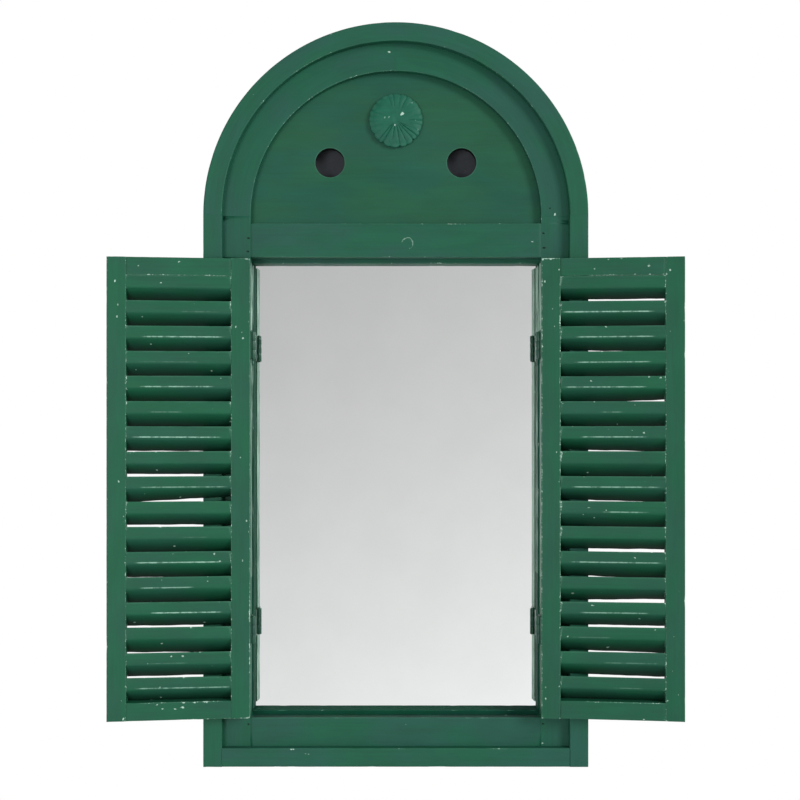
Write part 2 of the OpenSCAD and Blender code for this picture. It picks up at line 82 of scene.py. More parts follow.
# the camera, where the photograph was taken from
cameraSettings = {
    "distance": 1.250,    # in front of the rim
    "height": -0.177,
    "lens": 55.6,
    "shiftX": 0.00525,
    "shiftY": 0.035,
}
lightSettings = {
    "key": {"at": (5.0, -4.6, 2.2), "size": 2.6, "power": 242, "aim": (0, 0, -0.12)},
    "fill": {"at": (-0.95, -2.1, -0.3), "size": 0.9, "power": 15, "aim": (-0.05, 0, -0.15)},
}
worldSettings = {
    "ambient": 0.40,
    "mirrorTop": 0.535,      # what the mirror shows of the room, from above eye level
    "mirrorBottom": 0.88,    # and from the floor
    "riseSpan": (-0.24, 0.16),
    "fallPower": 1.35,
    "sideTint": 0.62,
}
floorSettings = {"drop": 0.42, "radius": 1.15, "segments": 96, "tone": 0.62, "lift": 0.80}


def addObject(name, data, at=(0, 0, 0)):
    made = bpy.data.objects.new(name, data)
    made.location = at
    bpy.context.scene.collection.objects.link(made)
    return made


def addCamera():
    s = cameraSettings
    data = bpy.data.cameras.new("camera")
    data.lens = s["lens"]
    data.shift_x = s["shiftX"]
    data.shift_y = s["shiftY"]
    data.dof.use_dof = False
    camera = addObject("camera", data, (0, -rimFront - s["distance"], s["height"]))
    camera.rotation_euler = (math.radians(90), 0, 0)
    bpy.context.scene.camera = camera


def addLight(name, s):
    data = bpy.data.lights.new(name, "AREA")
    data.shape = "DISK"
    data.size = s["size"]
    data.energy = s["power"]
    lamp = addObject(name, data, s["at"])
    lamp.rotation_euler = (Vector(s["aim"]) - Vector(s["at"])).to_track_quat("-Z", "Y").to_euler()


class Flow:
    # what comes out of a node: it can be added, taken away and multiplied like a number
    def __init__(self, tree, socket):
        self.tree = tree
        self.socket = socket

    def reckon(self, kind, a, b):
        return (self.tree.math if self.socket.type == "VALUE" else self.tree.vector)(kind, a, b)

    def __add__(self, other):
        return self.reckon("ADD", self, other)

    def __sub__(self, other):
        return self.reckon("SUBTRACT", self, other)

    def __rsub__(self, other):
        return self.reckon("SUBTRACT", other, self)

    def __mul__(self, other):
        return self.reckon("MULTIPLY", self, other)


class Tree:
    # a node tree being filled: add a node, set its values, feed its inputs
    def __init__(self, tree):
        self.tree = tree
        tree.nodes.clear()

    def node(self, kind, values=None, **feeds):
        made = self.tree.nodes.new(kind)
        for key, value in (values or {}).items():
            setattr(made, key, value)
        self.feed(made, feeds)
        return made

    def feed(self, made, feeds):
        # "i3" is the fourth input, any other key an input's own name
        for key, value in feeds.items():
            socket = made.inputs[int(key[1:]) if key[0] == "i" and key[1:].isdigit() else key]
            if isinstance(value, Flow):
                self.tree.links.new(value.socket, socket)
            else:
                socket.default_value = value

    def out(self, kind, which=0, values=None, **feeds):
        return Flow(self, self.node(kind, values, **feeds).outputs[which])

    def outs(self, kind, values=None, **feeds):
        return {socket.name: Flow(self, socket) for socket in self.node(kind, values, **feeds).outputs}

    def math(self, kind, a, b=0.0, clamp=False):
        return self.out("ShaderNodeMath", 0, {"operation": kind, "use_clamp": clamp}, i0=a, i1=b)

    def most(self, first, *others):
        for other in others:
            first = self.math("MAXIMUM", first, other)
        return first

    def vector(self, kind, a, b):
        return self.out("ShaderNodeVectorMath", 0, {"operation": kind}, i0=a, i1=b)

    def scaled(self, vector, by):
        return self.out("ShaderNodeVectorMath", 0, {"operation": "SCALE"}, i0=vector, Scale=by)

    def join(self, x=0.0, y=0.0, z=0.0):
        return self.out("ShaderNodeCombineXYZ", i0=x, i1=y, i2=z)

    def split(self, vector):
        return list(self.outs("ShaderNodeSeparateXYZ", i0=vector).values())

    def ramp(self, value, low, high, toLow=0.0, toHigh=1.0, smooth=True):
        kind = {"interpolation_type": "SMOOTHSTEP" if smooth else "LINEAR"}
        return self.out("ShaderNodeMapRange", 0, kind, i0=value, i1=low, i2=high, i3=toLow, i4=toHigh)

    def mix(self, amount, a, b):
        return self.out("ShaderNodeMix", 2, {"data_type": "RGBA"}, i0=amount, i6=a, i7=b)

    def blend(self, amount, a, b):
        # mix for plain numbers
        return self.out("ShaderNodeMix", 0, {"data_type": "FLOAT"}, i0=amount, i2=a, i3=b)

    def noise(self, vector, scale, detail=3.0, rough=0.5):
        return self.out("ShaderNodeTexNoise", Vector=vector, Scale=scale, Detail=detail, Roughness=rough)

    def spot(self):
        return self.out("ShaderNodeTexCoord", "Object")

    def attribute(self, name, output="Fac"):
        return self.out("ShaderNodeAttribute", output, {"attribute_name": name})

    def named(self, name, kind="FLOAT"):
        # the same for a geometry tree
        return self.out("GeometryNodeInputNamedAttribute", 0, {"data_type": kind}, Name=name)


def addWorld():
    # white to the camera, and to the mirror a room that is paler towards its floor
    w = worldSettings
    world = bpy.data.worlds.new("studio")
    world.use_nodes = True
    t = Tree(world.node_tree)
    ray = t.outs("ShaderNodeLightPath")
    toward = t.split(t.out("ShaderNodeTexCoord", "Generated"))
    fall = t.ramp(toward[2], *w["riseSpan"], 1.0, 0.0, smooth=False)
    deeper = t.math("POWER", fall, w["fallPower"]) * (w["mirrorBottom"] - w["mirrorTop"])
    room = (deeper + w["mirrorTop"]) * (toward[0] * w["sideTint"] + 1.0)
    light = t.blend(t.most(ray["Is Glossy Ray"], ray["Is Transmission Ray"]), w["ambient"], room)
    seen = t.blend(ray["Is Camera Ray"], light, 1.0)
    t.node("ShaderNodeOutputWorld", Surface=t.out("ShaderNodeBackground", Color=(1, 1, 1, 1), Strength=seen))
    bpy.context.scene.world = world


def addFloor():
    f = floorSettings
    bm = bmesh.new()
    bmesh.ops.create_circle(bm, cap_ends=True, radius=f["radius"], segments=f["segments"])
    mesh = bpy.data.meshes.new("floor")
    bm.to_mesh(mesh)
    bm.free()
    material = bpy.data.materials.new("pale_floor")
    material.use_nodes = True
    t = Tree(material.node_tree)
    cloth = t.out("ShaderNodeBsdfDiffuse", Color=(f["tone"], f["tone"], f["tone"], 1))
    glow = t.out("ShaderNodeEmission", Strength=t.out("ShaderNodeLightPath", "Is Camera Ray") * f["lift"])
    t.node("ShaderNodeOutputMaterial", Surface=t.out("ShaderNodeAddShader", i0=cloth, i1=glow))
    mesh.materials.append(material)
    addObject("floor", mesh, (0, 0, baseZ - f["drop"]))


addCamera()
for name, settings in lightSettings.items():
    addLight(name + "_light", settings)
addWorld()
addFloor()
bpy.context.scene.view_settings.view_transform = "Standard"
print("camera, lights and floor set")


def srgb(*screen):
    # a 0-255 screen colour as the linear one that a shader takes
    linear = (c / 255 / 12.92 if c <= 10 else ((c / 255 + 0.055) / 1.055) ** 2.4 for c in screen)
    return (*linear, 1.0)


def newGroup(name, inputs, outputs, kind="ShaderNodeTree"):
    # a node group, its tree to fill, what comes in by name, and the node that takes what goes out
    group = bpy.data.node_groups.new(name, kind)
    for way, sockets in (("INPUT", inputs), ("OUTPUT", outputs)):
        for label, socket in sockets.items():
            group.interface.new_socket(label, in_out=way, socket_type="NodeSocket" + socket)
    t = Tree(group)
    return group, t, t.outs("NodeGroupInput"), t.node("NodeGroupOutput")


def boardPlaces():
    # along, across and into the board, in metres, with each board's own start
    group, t, _, take = newGroup("board_places", {}, {"Place": "Vector"})
    seed = t.attribute("seed")
    t.feed(take, {"Place": t.attribute("grain", "Vector") + t.join(seed, seed * 0.37)})
    return group


brush = {"streaks": 0.58, "mottle": 0.36}      # how much either changes the tone


def brushedPaint():
    # matt paint laid on by brush: long faint streaks, slow changes of tone
    group, t, give, take = newGroup("brushed_paint", {"Place": "Vector", "Paint": "Color", "Cool": "Color"},
                                    {"Color": "Color", "Height": "Float", "Roughness": "Float"})
    place = give["Place"]
    slow = t.noise(place * (1.0, 2.4, 1.0), 13.0)
    tone = t.mix(t.ramp(slow, 0.36, 0.64), give["Paint"], give["Cool"])
    streak = t.noise(place * (12.0, 420.0, 420.0), 1.0, 4.0, 0.6)
    fine = t.noise(place * (60.0, 1400.0, 1400.0), 1.0, 2.0)
    lie = streak * 0.7 + fine * 0.3
    patch = t.noise(place * (22.0, 60.0, 60.0), 1.0)
    shade = (lie - 0.5) * brush["streaks"] + (patch - 0.5) * brush["mottle"]
    t.feed(take, {"Color": t.scaled(tone, shade + 1.0), "Height": lie,
                  "Roughness": t.ramp(lie, 0.35, 0.65, 0.50, 0.64, smooth=False)})
    return group


rubbing = {
    "reach": 1.6 * mm,     # how far from a wholly worn arris the paint is gone
    "grit": 6.0 * mm,      # how ragged its edge is
    "sound": 0.8 * mm,     # how near to the arris it holds where it is little worn
}


def wornEdges():
    # paint rubbed off along the arrises: specks where little worn, ragged runs where much worn
    group, t, give, take = newGroup("worn_edges", {"Place": "Vector", "Amount": "Float"},
                                    {"Pale": "Float", "Thin": "Float"})
    near = t.attribute("arris")
    rubbed = t.attribute("nick")
    runs = t.noise(give["Place"] * (34.0, 40.0, 40.0), 1.0, 3.0, 0.6)
    grit = t.noise(give["Place"], 620.0, 2.0, 0.7)
    worn = t.ramp(runs, 0.54, 0.76) * give["Amount"] + rubbed
    gap = worn * rubbing["reach"] - (near + (grit - 0.5) * rubbing["grit"] + rubbing["sound"])
    thin = t.most(t.ramp(runs, 0.3, 0.6) * give["Amount"], t.math("MULTIPLY", rubbed, 1.2, clamp=True))
    t.feed(take, {"Pale": t.ramp(gap, 0.0, 0.4 * mm) * t.ramp(worn, 0.04, 0.14),
                  "Thin": t.ramp(near, 0.2 * mm, 1.1 * mm, 1.0, 0.0) * thin})
    return group


def paintChips():
    # small chips here and there, more of them close to an arris
    group, t, give, take = newGroup("paint_chips", {"Place": "Vector", "Share": "Float"}, {"Pale": "Float"})
    bend = t.out("ShaderNodeTexNoise", 1, Vector=give["Place"], Scale=420.0)
    place = give["Place"] + t.scaled(bend, 2.4 * mm)
    cells = t.outs("ShaderNodeTexVoronoi", Vector=place * (0.7, 1.0, 1.0), Scale=250.0)
    draw = t.outs("ShaderNodeSeparateColor", i0=cells["Color"])
    share = give["Share"] * t.ramp(t.attribute("arris"), 0.5 * mm, 3.6 * mm, 4.0, 0.7)
    hit = t.math("GREATER_THAN", draw["Red"], 1.0 - share)
    size = (draw["Green"] * 0.16 + 0.09) * hit
    t.feed(take, {"Pale": t.ramp(size - cells["Distance"], 0.0, 0.03)})
    return group


groups = {"places": boardPlaces(), "paint": brushedPaint(), "edges": wornEdges(), "chips": paintChips()}

paintSettings = {   # the paint and its cooler patches, how worn the arrises are and how many chips there are
    "case_paint": dict(paint=(25, 93, 68), cool=(34, 90, 75), worn=0.30, chips=0.005),
    "board_paint": dict(paint=(23, 92, 68), cool=(32, 88, 73), worn=0.30, chips=0.004),
    # the stops: the board paint made darker, painted shade for the recess they sit in
    "stop_paint": dict(paint=(20, 74, 55), cool=(22, 70, 56), worn=0.20, chips=0.003, sheen=0.02),
    "panel_paint": dict(paint=(27, 89, 62), cool=(24, 87, 68), chips=0.0012),
    "rosette_paint": dict(paint=(22, 100, 77), cool=(30, 98, 79), worn=0.20, chips=0.0),
    "shutter_paint": dict(paint=(22, 94, 65), cool=(30, 90, 69), worn=0.30, chips=0.042),
    "slat_paint": dict(paint=(21, 93, 64), cool=(29, 89, 68), worn=0.34, chips=0.028, louvre=True),
    "hinge_paint": dict(paint=(24, 88, 65), cool=(34, 84, 69)),
}
# the undercoat that wear shows, and the near blacks of nail holes and painted shade
primerAndShade = {"pale": srgb(184, 216, 200), "thin": srgb(84, 138, 114), "nail": srgb(14, 34, 27),
          "raw": srgb(12, 13, 13), "rub": srgb(158, 203, 184)}
paintSkin = {"sheen": 0.28, "brush": 0.35, "bump": (0.55, 0.16 * mm)}


def newMaterial(name, look, s=None):
    # look gives what the shader takes by name, and may give a bump: its height, strength and depth
    material = bpy.data.materials.new(name)
    material.use_nodes = True
    t = Tree(material.node_tree)
    feeds = look(t, s)
    if "bump" in feeds:
        height, strength, depth = feeds.pop("bump")
        feeds["Normal"] = t.out("ShaderNodeBump", Height=height, Strength=strength, Distance=depth)
    t.node("ShaderNodeOutputMaterial", Surface=t.out("ShaderNodeBsdfPrincipled", **feeds))
    return material


def useGroup(t, key, **feeds):
    return t.outs("ShaderNodeGroup", {"node_tree": groups[key]}, **feeds)


def paintLayers(t, s):
    place = useGroup(t, "places")["Place"]
    paint = useGroup(t, "paint", Place=place, Paint=srgb(*s["paint"]), Cool=srgb(*s["cool"]))
    chip = useGroup(t, "chips", Place=place, Share=s["chips"])["Pale"]
    return place, paint, chip


def noseLine(t, place):
    # the thin pale line that handling leaves along a slat's lower front edge
    away = t.attribute("nose") + (t.noise(place, 330.0, 3.0, 0.6) - 0.5) * (0.7 * mm)
    broken = t.ramp(t.noise(place * (150.0, 40.0, 40.0), 1.0, 3.0, 0.7), 0.36, 0.56, 0.25, 1.0)
    return t.ramp(away, 0.36 * mm, 0.78 * mm, 1.0, 0.0) * broken * t.attribute("rubbed")


def paintLook(t, s):
    place, paint, chip = paintLayers(t, s)
    edge = useGroup(t, "edges", Place=place, Amount=s["worn"])
    mark = t.attribute("mark")
    # pale where a side is scrubbed: painted sheen of the lit reveal, with some rubbing
    scrub = t.attribute("scrub")
    raggedSheen = (paint["Height"] - 0.5) * t.ramp(scrub, 0.1, 0.3, 0.0, 1.5)
    sheenScrubbed = t.ramp(scrub + raggedSheen, 0.3, 0.6)
    bareOrSheen = t.most(edge["Pale"], chip * 0.8, t.ramp(mark, 0.3, 0.6), sheenScrubbed)
    thin = t.mix(edge["Thin"], paint["Color"], primerAndShade["thin"])
    # dark where a mark is negative: nail holes, and painted shade on the bottom rail's upper side
    marked = t.mix(t.ramp(mark, -0.6, -0.2, 0.85, 0.0), thin, primerAndShade["nail"])
    if "louvre" in s:      # rubbed along its front edge, and painted shade on the underside, darker towards its back
        marked = t.mix(noseLine(t, place), marked, primerAndShade["rub"])
        marked = t.scaled(marked, t.ramp(t.attribute("tail"), 0.15, 0.95, 1.0, 0.32, smooth=False))
    return {"Base Color": t.mix(bareOrSheen, marked, primerAndShade["pale"]), "Roughness": paint["Roughness"] + bareOrSheen * 0.2,
            "Specular IOR Level": s.get("sheen", paintSkin["sheen"]),
            "bump": (paint["Height"] * paintSkin["brush"] - bareOrSheen, *paintSkin["bump"])}


def panelLook(t, s):
    # the arched panel: thin paint on the rims of its holes, and painted shade, near black, on their walls
    _, paint, chip = paintLayers(t, s)
    spot = t.spot()
    near = 1.0
    for hole in eyeHoles:
        off = (spot - (hole.x, 0, hole.z)) * (1, 0, 1)
        away = t.out("ShaderNodeVectorMath", "Value", {"operation": "LENGTH"}, i0=off)
        near = t.math("MINIMUM", near, away)
    reach = near - (t.noise(spot, 160.0, 3.0, 0.6) - 0.5) * (1.6 * mm)
    rim = t.ramp(reach, eyeR + 0.3 * mm, eyeR + 1.1 * mm, 0.32, 0.0)
    colour = t.mix(chip, t.mix(rim, paint["Color"], primerAndShade["thin"]), primerAndShade["pale"])
    # painted shade: the holes' walls are coloured near black
    inHole = t.ramp(near, eyeR + 0.1 * mm, eyeR + 0.3 * mm, 1.0, 0.0)
    wall = inHole * t.ramp(t.split(spot)[1], -panelFront + 0.5 * mm, -panelFront + 0.9 * mm)
    return {"Base Color": t.mix(wall, colour, primerAndShade["raw"]), "Roughness": paint["Roughness"],
            "Specular IOR Level": paintSkin["sheen"],
            "bump": (paint["Height"] * paintSkin["brush"], *paintSkin["bump"])}


def hingeLook(t, s):
    # painted-over steel: paint tone that changes at random, metal showing through in specks
    spot = t.spot()
    tone = t.mix(t.ramp(t.noise(spot, 90.0), 0.4, 0.62), srgb(*s["paint"]), srgb(*s["cool"]))
    speck = t.ramp(t.noise(spot, 520.0, 3.0, 0.7), 0.66, 0.70)
    return {"Base Color": t.mix(speck, tone, srgb(120, 150, 138)),
            "Roughness": t.ramp(speck, 0.0, 1.0, 0.42, 0.6), "bump": (t.noise(spot, 240.0), 0.5, 0.12 * mm)}


def mirrorLook(t, s):
    spot = t.spot()
    haze = t.ramp(t.noise(spot, 14.0, 4.0, 0.6), 0.3, 0.7)
    return {"Base Color": t.mix(haze, srgb(248, 250, 249), srgb(245, 247, 246)), "Metallic": 1.0,
            "Roughness": t.ramp(t.noise(spot, 260.0, 3.0, 0.7), 0.35, 0.8, 0.012, 0.05)}


def hardboardLook(t, s):
    spot = t.spot()
    fibre = t.noise(spot, 300.0, 5.0, 0.7)
    tone = t.mix(t.ramp(t.noise(spot, 18.0), 0.35, 0.65), srgb(71, 75, 80), srgb(78, 80, 84))
    return {"Base Color": t.mix(t.ramp(fibre, 0.45, 0.75, 0.0, 0.3), tone, srgb(96, 95, 97)),
            "Roughness": t.ramp(fibre, 0.3, 0.7, 0.78, 0.92), "Specular IOR Level": 0.15,
            "bump": (fibre, 0.4, 0.12 * mm)}


def zincLook(t, s):
    spot = t.spot()
    spangle = t.out("ShaderNodeTexVoronoi", "Color", Vector=spot, Scale=620.0)
    tone = t.out("ShaderNodeSeparateColor", "Red", i0=spangle)
    drawn = t.noise(spot * (2600.0, 2600.0, 60.0), 1.0)
    return {"Base Color": t.mix(tone, srgb(178, 181, 184), srgb(201, 203, 204)), "Metallic": 1.0,
            "Roughness": t.ramp(tone * 0.4 + drawn, 0.3, 1.1, 0.28, 0.52), "bump": (drawn, 0.3, 0.03 * mm)}


materials = {name: newMaterial(name, paintLook, s) for name, s in paintSettings.items() if "worn" in s}
for name, look in (("panel_paint", panelLook), ("hinge_paint", hingeLook)):
    materials[name] = newMaterial(name, look, paintSettings[name])
materials["mirror"] = newMaterial("silvered_glass", mirrorLook)
materials["hardboard"] = newMaterial("dark_hardboard", hardboardLook)
materials["zinc"] = newMaterial("zinc_plate", zincLook)
print("materials made:", len(materials))


def boardSpace(place, upright):
    # to a board's own straight space and back: along it (s), across its face (w) and out to its face (d)
    home = place.inverted()
    order = (2, 0, 1) if upright else (0, 2, 1)

    def there(p):
        q = home @ p
        return Vector([q[i] for i in order])

    def back(q):
        return place @ Vector([q[order.index(i)] for i in range(3)])

    return there, back


faceOut = Matrix.Scale(-1, 4, (0, 1, 0))
upSpace = boardSpace(faceOut, True)
acrossSpace = boardSpace(faceOut, False)


def archSpace(bend):
    # from the straight to the arch; bend is the radius at which a length along it stays true
    def back(q):
        turn = q[0] / bend
        return Vector((q[1] * math.cos(turn), -q[2], archZ + q[1] * math.sin(turn)))
    return None, back


def shutterMatrix(side):
    # from the shutter's own frame, with the hinge at its origin, to its place when open
    turn = Matrix.Translation((leftAxis.x, leftAxis.y, 0)) @ Matrix.Rotation(-openAngle, 4, "Z")
    return turn if side == "left" else Matrix.Scale(-1, 4, (1, 0, 0)) @ turn


wear = {
    "reach": 4.0 * mm,      # how far from an arris the paint knows of it
    "cuts": (1.0, 0.4),     # where a board is cut beside an arris, as shares of that
    "step": 3.2 * mm,       # between two cuts along a board
    "bevel": 0.7 * mm,      # on arrises that the frame leaves square
    "end": 0.15 * mm,       # on the ends of boards whose long arrises the frame has rounded
    "seam": 0.08 * mm,      # on the ends that meet another board
    "wave": 0.10 * mm,
    "nickDepth": 0.55 * mm,
    "nickWidth": 2.2 * mm,
}
markShape = {
    "spotPitch": 0.33, "ringPitch": 0.8, "margin": 1.33,      # the grid cut at a mark, in radii
    "slot": 1.7,           # nail holes are slots across the board
    "chip": 0.75,          # and chips run along it
    "ringTurn": (-75, 195),
    "ragged": 0.5,
}


def copyOf(node, plain=True):
    # the frame's own solid as one joined mesh, with whole flat faces when plain
    bm = bmesh.new()
    bm.from_mesh(nodes[node].data)
    bmesh.ops.remove_doubles(bm, verts=bm.verts, dist=1e-6)
    if plain:
        bmesh.ops.dissolve_limit(bm, angle_limit=math.radians(0.4), verts=bm.verts, edges=bm.edges)
    return bm


def closeTube(bm, rows):
    # the faces between rings of points, and one over each end
    for a, b in zip(rows, rows[1:]):
        for k in range(len(a)):
            n = (k + 1) % len(a)
            bm.faces.new((a[k], a[n], b[n], b[k]))
    bm.faces.new(rows[0][::-1])
    bm.faces.new(rows[-1])
    return bm


def stripOf(section, start, end):
    # the straight blank of a bent board: its section (w, d), run along s
    bm = bmesh.new()
    closeTube(bm, [[bm.verts.new((s, w, d)) for w, d in section] for s in (start, end)])
    bmesh.ops.recalc_face_normals(bm, faces=bm.faces)
    return bm


def spanOf(points):
    return [Vector([furthest(p[i] for p in points) for i in range(3)]) for furthest in (min, max)]


def arrisLine(code, low, high):
    # "w+d+" is the line where the high side across meets the front
    return {"swd".index(axis): (high if sign == "+" else low)["swd".index(axis)]
            for axis, sign in zip(code[::2], code[1::2])}


def onLine(co, fixed, within=1e-5):
    return all(abs(co[axis] - value) < within for axis, value in fixed.items())


def inwardFrom(value, axis, low, high):
    # the way into the board from one of its sides
    return 1 if abs(value - low[axis]) < abs(value - high[axis]) else -1


def joined(along, joins):
    # true where another board meets this one flush, so that its long arris isn't there
    return any(start < along < end for start, end in joins)


def bevelEdges(bm, edges, width, steps, clamp=True):
    bmesh.ops.bevel(bm, geom=edges, offset=width, offset_type="OFFSET", segments=steps, profile=0.5,
                    affect="EDGES", clamp_overlap=clamp)


def bevelLines(bm, lines, width, steps, joins=()):
    chosen = [e for e in bm.edges if any(all(onLine(v.co, line) for v in e.verts) for line in lines)
              and not joined((e.verts[0].co[0] + e.verts[1].co[0]) / 2, joins)]
    if chosen:
        bevelEdges(bm, chosen, width, steps)


def cutAcross(bm, axis, value):
    normal = Vector((0, 0, 0))
    normal[axis] = 1
    everything = bm.verts[:] + bm.edges[:] + bm.faces[:]
    bmesh.ops.bisect_plane(bm, geom=everything, dist=1e-6, plane_co=normal * value, plane_no=normal)


def cutBoard(bm, lines, low, high, marks):
    # cuts close to each arris, across the board at every step, and a small grid at each mark
    bmesh.ops.triangulate(bm, faces=bm.faces)
    cuts = [set(), set(), set()]
    for line in lines:
        for axis, value in line.items():
            inward = inwardFrom(value, axis, low, high)
            cuts[axis].update(round(value + inward * share * wear["reach"], 6) for share in wear["cuts"])
    count = max(2, round((high[0] - low[0]) / wear["step"]))
    cuts[0].update(round(low[0] + (high[0] - low[0]) * i / count, 6) for i in range(1, count))
    for s, w, radius, _, _, *ring in marks:
        pitch = radius * markShape["ringPitch" if ring else "spotPitch"]
        reach = round(markShape["margin"] * (radius + sum(ring)) / pitch)
        for i in range(-reach, reach + 1):
            cuts[0].add(round(s + i * pitch, 6))
            cuts[1].add(round(w + i * pitch, 6))
    for axis, values in enumerate(cuts):
        for value in sorted(values):
            if low[axis] < value < high[axis]:
                cutAcross(bm, axis, value)


def nickAt(place, seed):
    # 0 on sound wood, up to 1 in a knock
    knock = noise.noise(Vector((place * 85.0, seed * 7.3, 0.4)))
    small = noise.noise(Vector((place * 330.0, seed * 3.1, 9.2)))
    return min(1.0, max(0.0, knock - 0.34) * 2.2 + max(0.0, small - 0.5) * 1.2)


def markAt(co, mark):
    # how far a point lies from the middle of a mark, and where the mark ends
    s, w, radius, _, tone, *ring = mark
    off = math.hypot((co[0] - s) * markShape["slot" if tone < 0 else "chip"], co[1] - w)
    if ring:      # a curled scuff
        turn = math.degrees(math.atan2(co[1] - w, co[0] - s))
        if turn < markShape["ringTurn"][0] or turn > markShape["ringTurn"][1]:
            return 2 * radius, radius
        curl = noise.noise(Vector((co[0] * 260, co[1] * 260, 0.4)))
        off = abs(math.hypot(co[0] - s, co[1] - w) - ring[0] * (1 + 0.2 * curl)) * (1 + max(0.0, curl * 3))
    return off * (1 + markShape["ragged"] * noise.noise(co * 700)), radius


def layersOf(bm, *names):
    # what the paint reads at each point: numbers by name, and its place along, across and into the board
    layers = {name: bm.verts.layers.float.new(name) for name in names}
    layers["grain"] = bm.verts.layers.float_vector.new("grain")
    return layers


def wearBoard(bm, lines, low, high, seed, marks, rubs, joins, scrubs):
    # move the arrises in and out, press the marks, and tell the paint where it is
    tell = layersOf(bm, "arris", "nick", "mark", "scrub", "seed")
    for v in bm.verts:
        co = v.co.copy()
        v[tell["grain"]] = co
        v[tell["seed"]] = seed
        within = all(low[i] - 1e-4 < co[i] < high[i] + 1e-4 for i in range(3))
        nearest = wear["reach"]
        worst = 0.0
        for k, line in enumerate(lines):
            if 0 not in line and joined(co[0], joins):
                continue
            away = math.sqrt(sum((co[axis] - value) ** 2 for axis, value in line.items()))
            nearest = min(nearest, away)
            if away > wear["nickWidth"] or not within:
                continue
            along = co[next(axis for axis in range(3) if axis not in line)]
            knock = nickAt(along, seed + k * 1.7)
            fade = 1 - away / wear["nickWidth"]
            rubbed = max((rub[3] for rub in rubs if rub[0] == k and rub[1] < along < rub[2]), default=0.0)
            rubbed *= 0.65 + 0.7 * noise.noise(Vector((along * 140, seed, 1.1)))
            worst = max(worst, knock * fade, rubbed)
            wave = noise.noise(Vector((along * 60, seed + k, 3.3))) * wear["wave"]
            for axis, value in line.items():
                inward = inwardFrom(value, axis, low, high)
                v.co[axis] += inward * fade * (knock * wear["nickDepth"] + wave) * 0.7
        v[tell["arris"]] = nearest
        v[tell["nick"]] = worst
        for side, start, end, tone in scrubs:        # one side painted pale, painted sheen with some rubbing, or dark, painted shade
            if start < co[0] < end and onLine(co, arrisLine(side, low, high), 0.02 * mm):
                v[tell["mark" if tone < 0 else "scrub"]] = tone * (1 + 0.22 * noise.noise(co * 40))
        for mark in marks:
            off, radius = markAt(co, mark)
            if off < radius and co[2] > high[2] - 0.2 * mm:
                v.co[2] -= mark[3] * min(1.0, 1.6 * (1 - off / radius))
                v[tell["mark"]] = mark[4]


def meshFrom(bm, name):
    bmesh.ops.recalc_face_normals(bm, faces=bm.faces)
    mesh = bpy.data.meshes.new(name)
    bm.to_mesh(mesh)
    bm.free()
    return mesh


def objectFrom(bm, name):
    return addObject(name, meshFrom(bm, name))


def finishPiece(mesh, slot, body, node, smooth=34, look=None):
    # look names another finish than the slot's own
    mesh.materials.clear()
    mesh.materials.append(materials[look or slot])
    mesh.shade_smooth()
    mesh.set_sharp_from_angle(angle=math.radians(smooth))
    piece = addObject(mesh.name, mesh)
    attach(piece, body)
    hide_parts(node)


def dressBoard(node, space, slot, arrises, seams="", blank=None, extent=None, seed=0.0, marks=(), rubs=(),
               joins=(), scrubs=(), body="frame", width=wear["bevel"], look=None):
    # width 0 says that the frame has rounded the long arrises already; a mark's sizes are in mm
    there, back = space
    bm = blank or copyOf(node)
    if not blank:
        for v in bm.verts:
            v.co = there(v.co)
    low, high = spanOf([v.co for v in bm.verts])
    if extent:      # the body between its tenons
        low[0], high[0] = extent
    lines = [arrisLine(code, low, high) for code in arrises.split()]
    marks = [(s, w, radius * mm, depth * mm, tone, *(r * mm for r in ring))
             for s, w, radius, depth, tone, *ring in marks]
    for ends in joins:
        for value in ends:
            cutAcross(bm, 0, value)
    if width:
        bevelLines(bm, lines, width, 3, joins)
    else:
        bevelLines(bm, [line for line in lines if 0 in line], wear["end"], 1)
    bevelLines(bm, [arrisLine(code, low, high) for code in seams.split()], wear["seam"], 1)
    cutBoard(bm, lines, low, high, marks)
    wearBoard(bm, lines, low, high, seed, marks, rubs, joins, scrubs)
    for v in bm.verts:
        v.co = back(v.co)
    finishPiece(meshFrom(bm, node + "_worn"), slot, body, node, look=look)


def arc(degrees, bend):
    return math.radians(degrees) * bend


rimEase = 1.2 * mm
archMid = (archR + rimInner) / 2
rimSection = [(rimInner, 0), (archR, 0), (archR, rimFront), (rimInner, rimFront)]
archRubs = [(k, arc(start, archMid), arc(end, archMid), worn) for k, start, end, worn in (
    (0, 111, 127, 0.7), (0, 138.5, 140.5, 1.2), (0, 33, 62, 0.45), (1, 18, 52, 0.5))]
dressBoard("case_left_side", upSpace, "case_paint", "w-d+ w+d+ w-d- s-d+ s-w-", seed=1.0, width=0)
dressBoard("case_right_side", upSpace, "case_paint", "w-d+ w+d+ w+d- s-d+ s-w+", seed=2.3, width=0)
dressBoard("case_bottom", acrossSpace, "case_paint", "w-d+ w+d+ w-d-", seed=3.1, width=0,
           marks=[(-0.1058, -0.5021, 0.9, 0.2, 0.55), (-0.1036, -0.5020, 0.8, 0.2, 0.55),
                  (-0.0914, -0.5066, 0.7, 0.1, 0.40), (-0.0882, -0.5071, 0.7, 0.1, 0.42)])
dressBoard("case_arch", archSpace(archMid), "case_paint", "w-d+ w+d+ w+d-", seed=4.7, width=rimEase,
           blank=stripOf(rimSection, 0, arc(180, archMid)), rubs=archRubs)
print("case dressed")

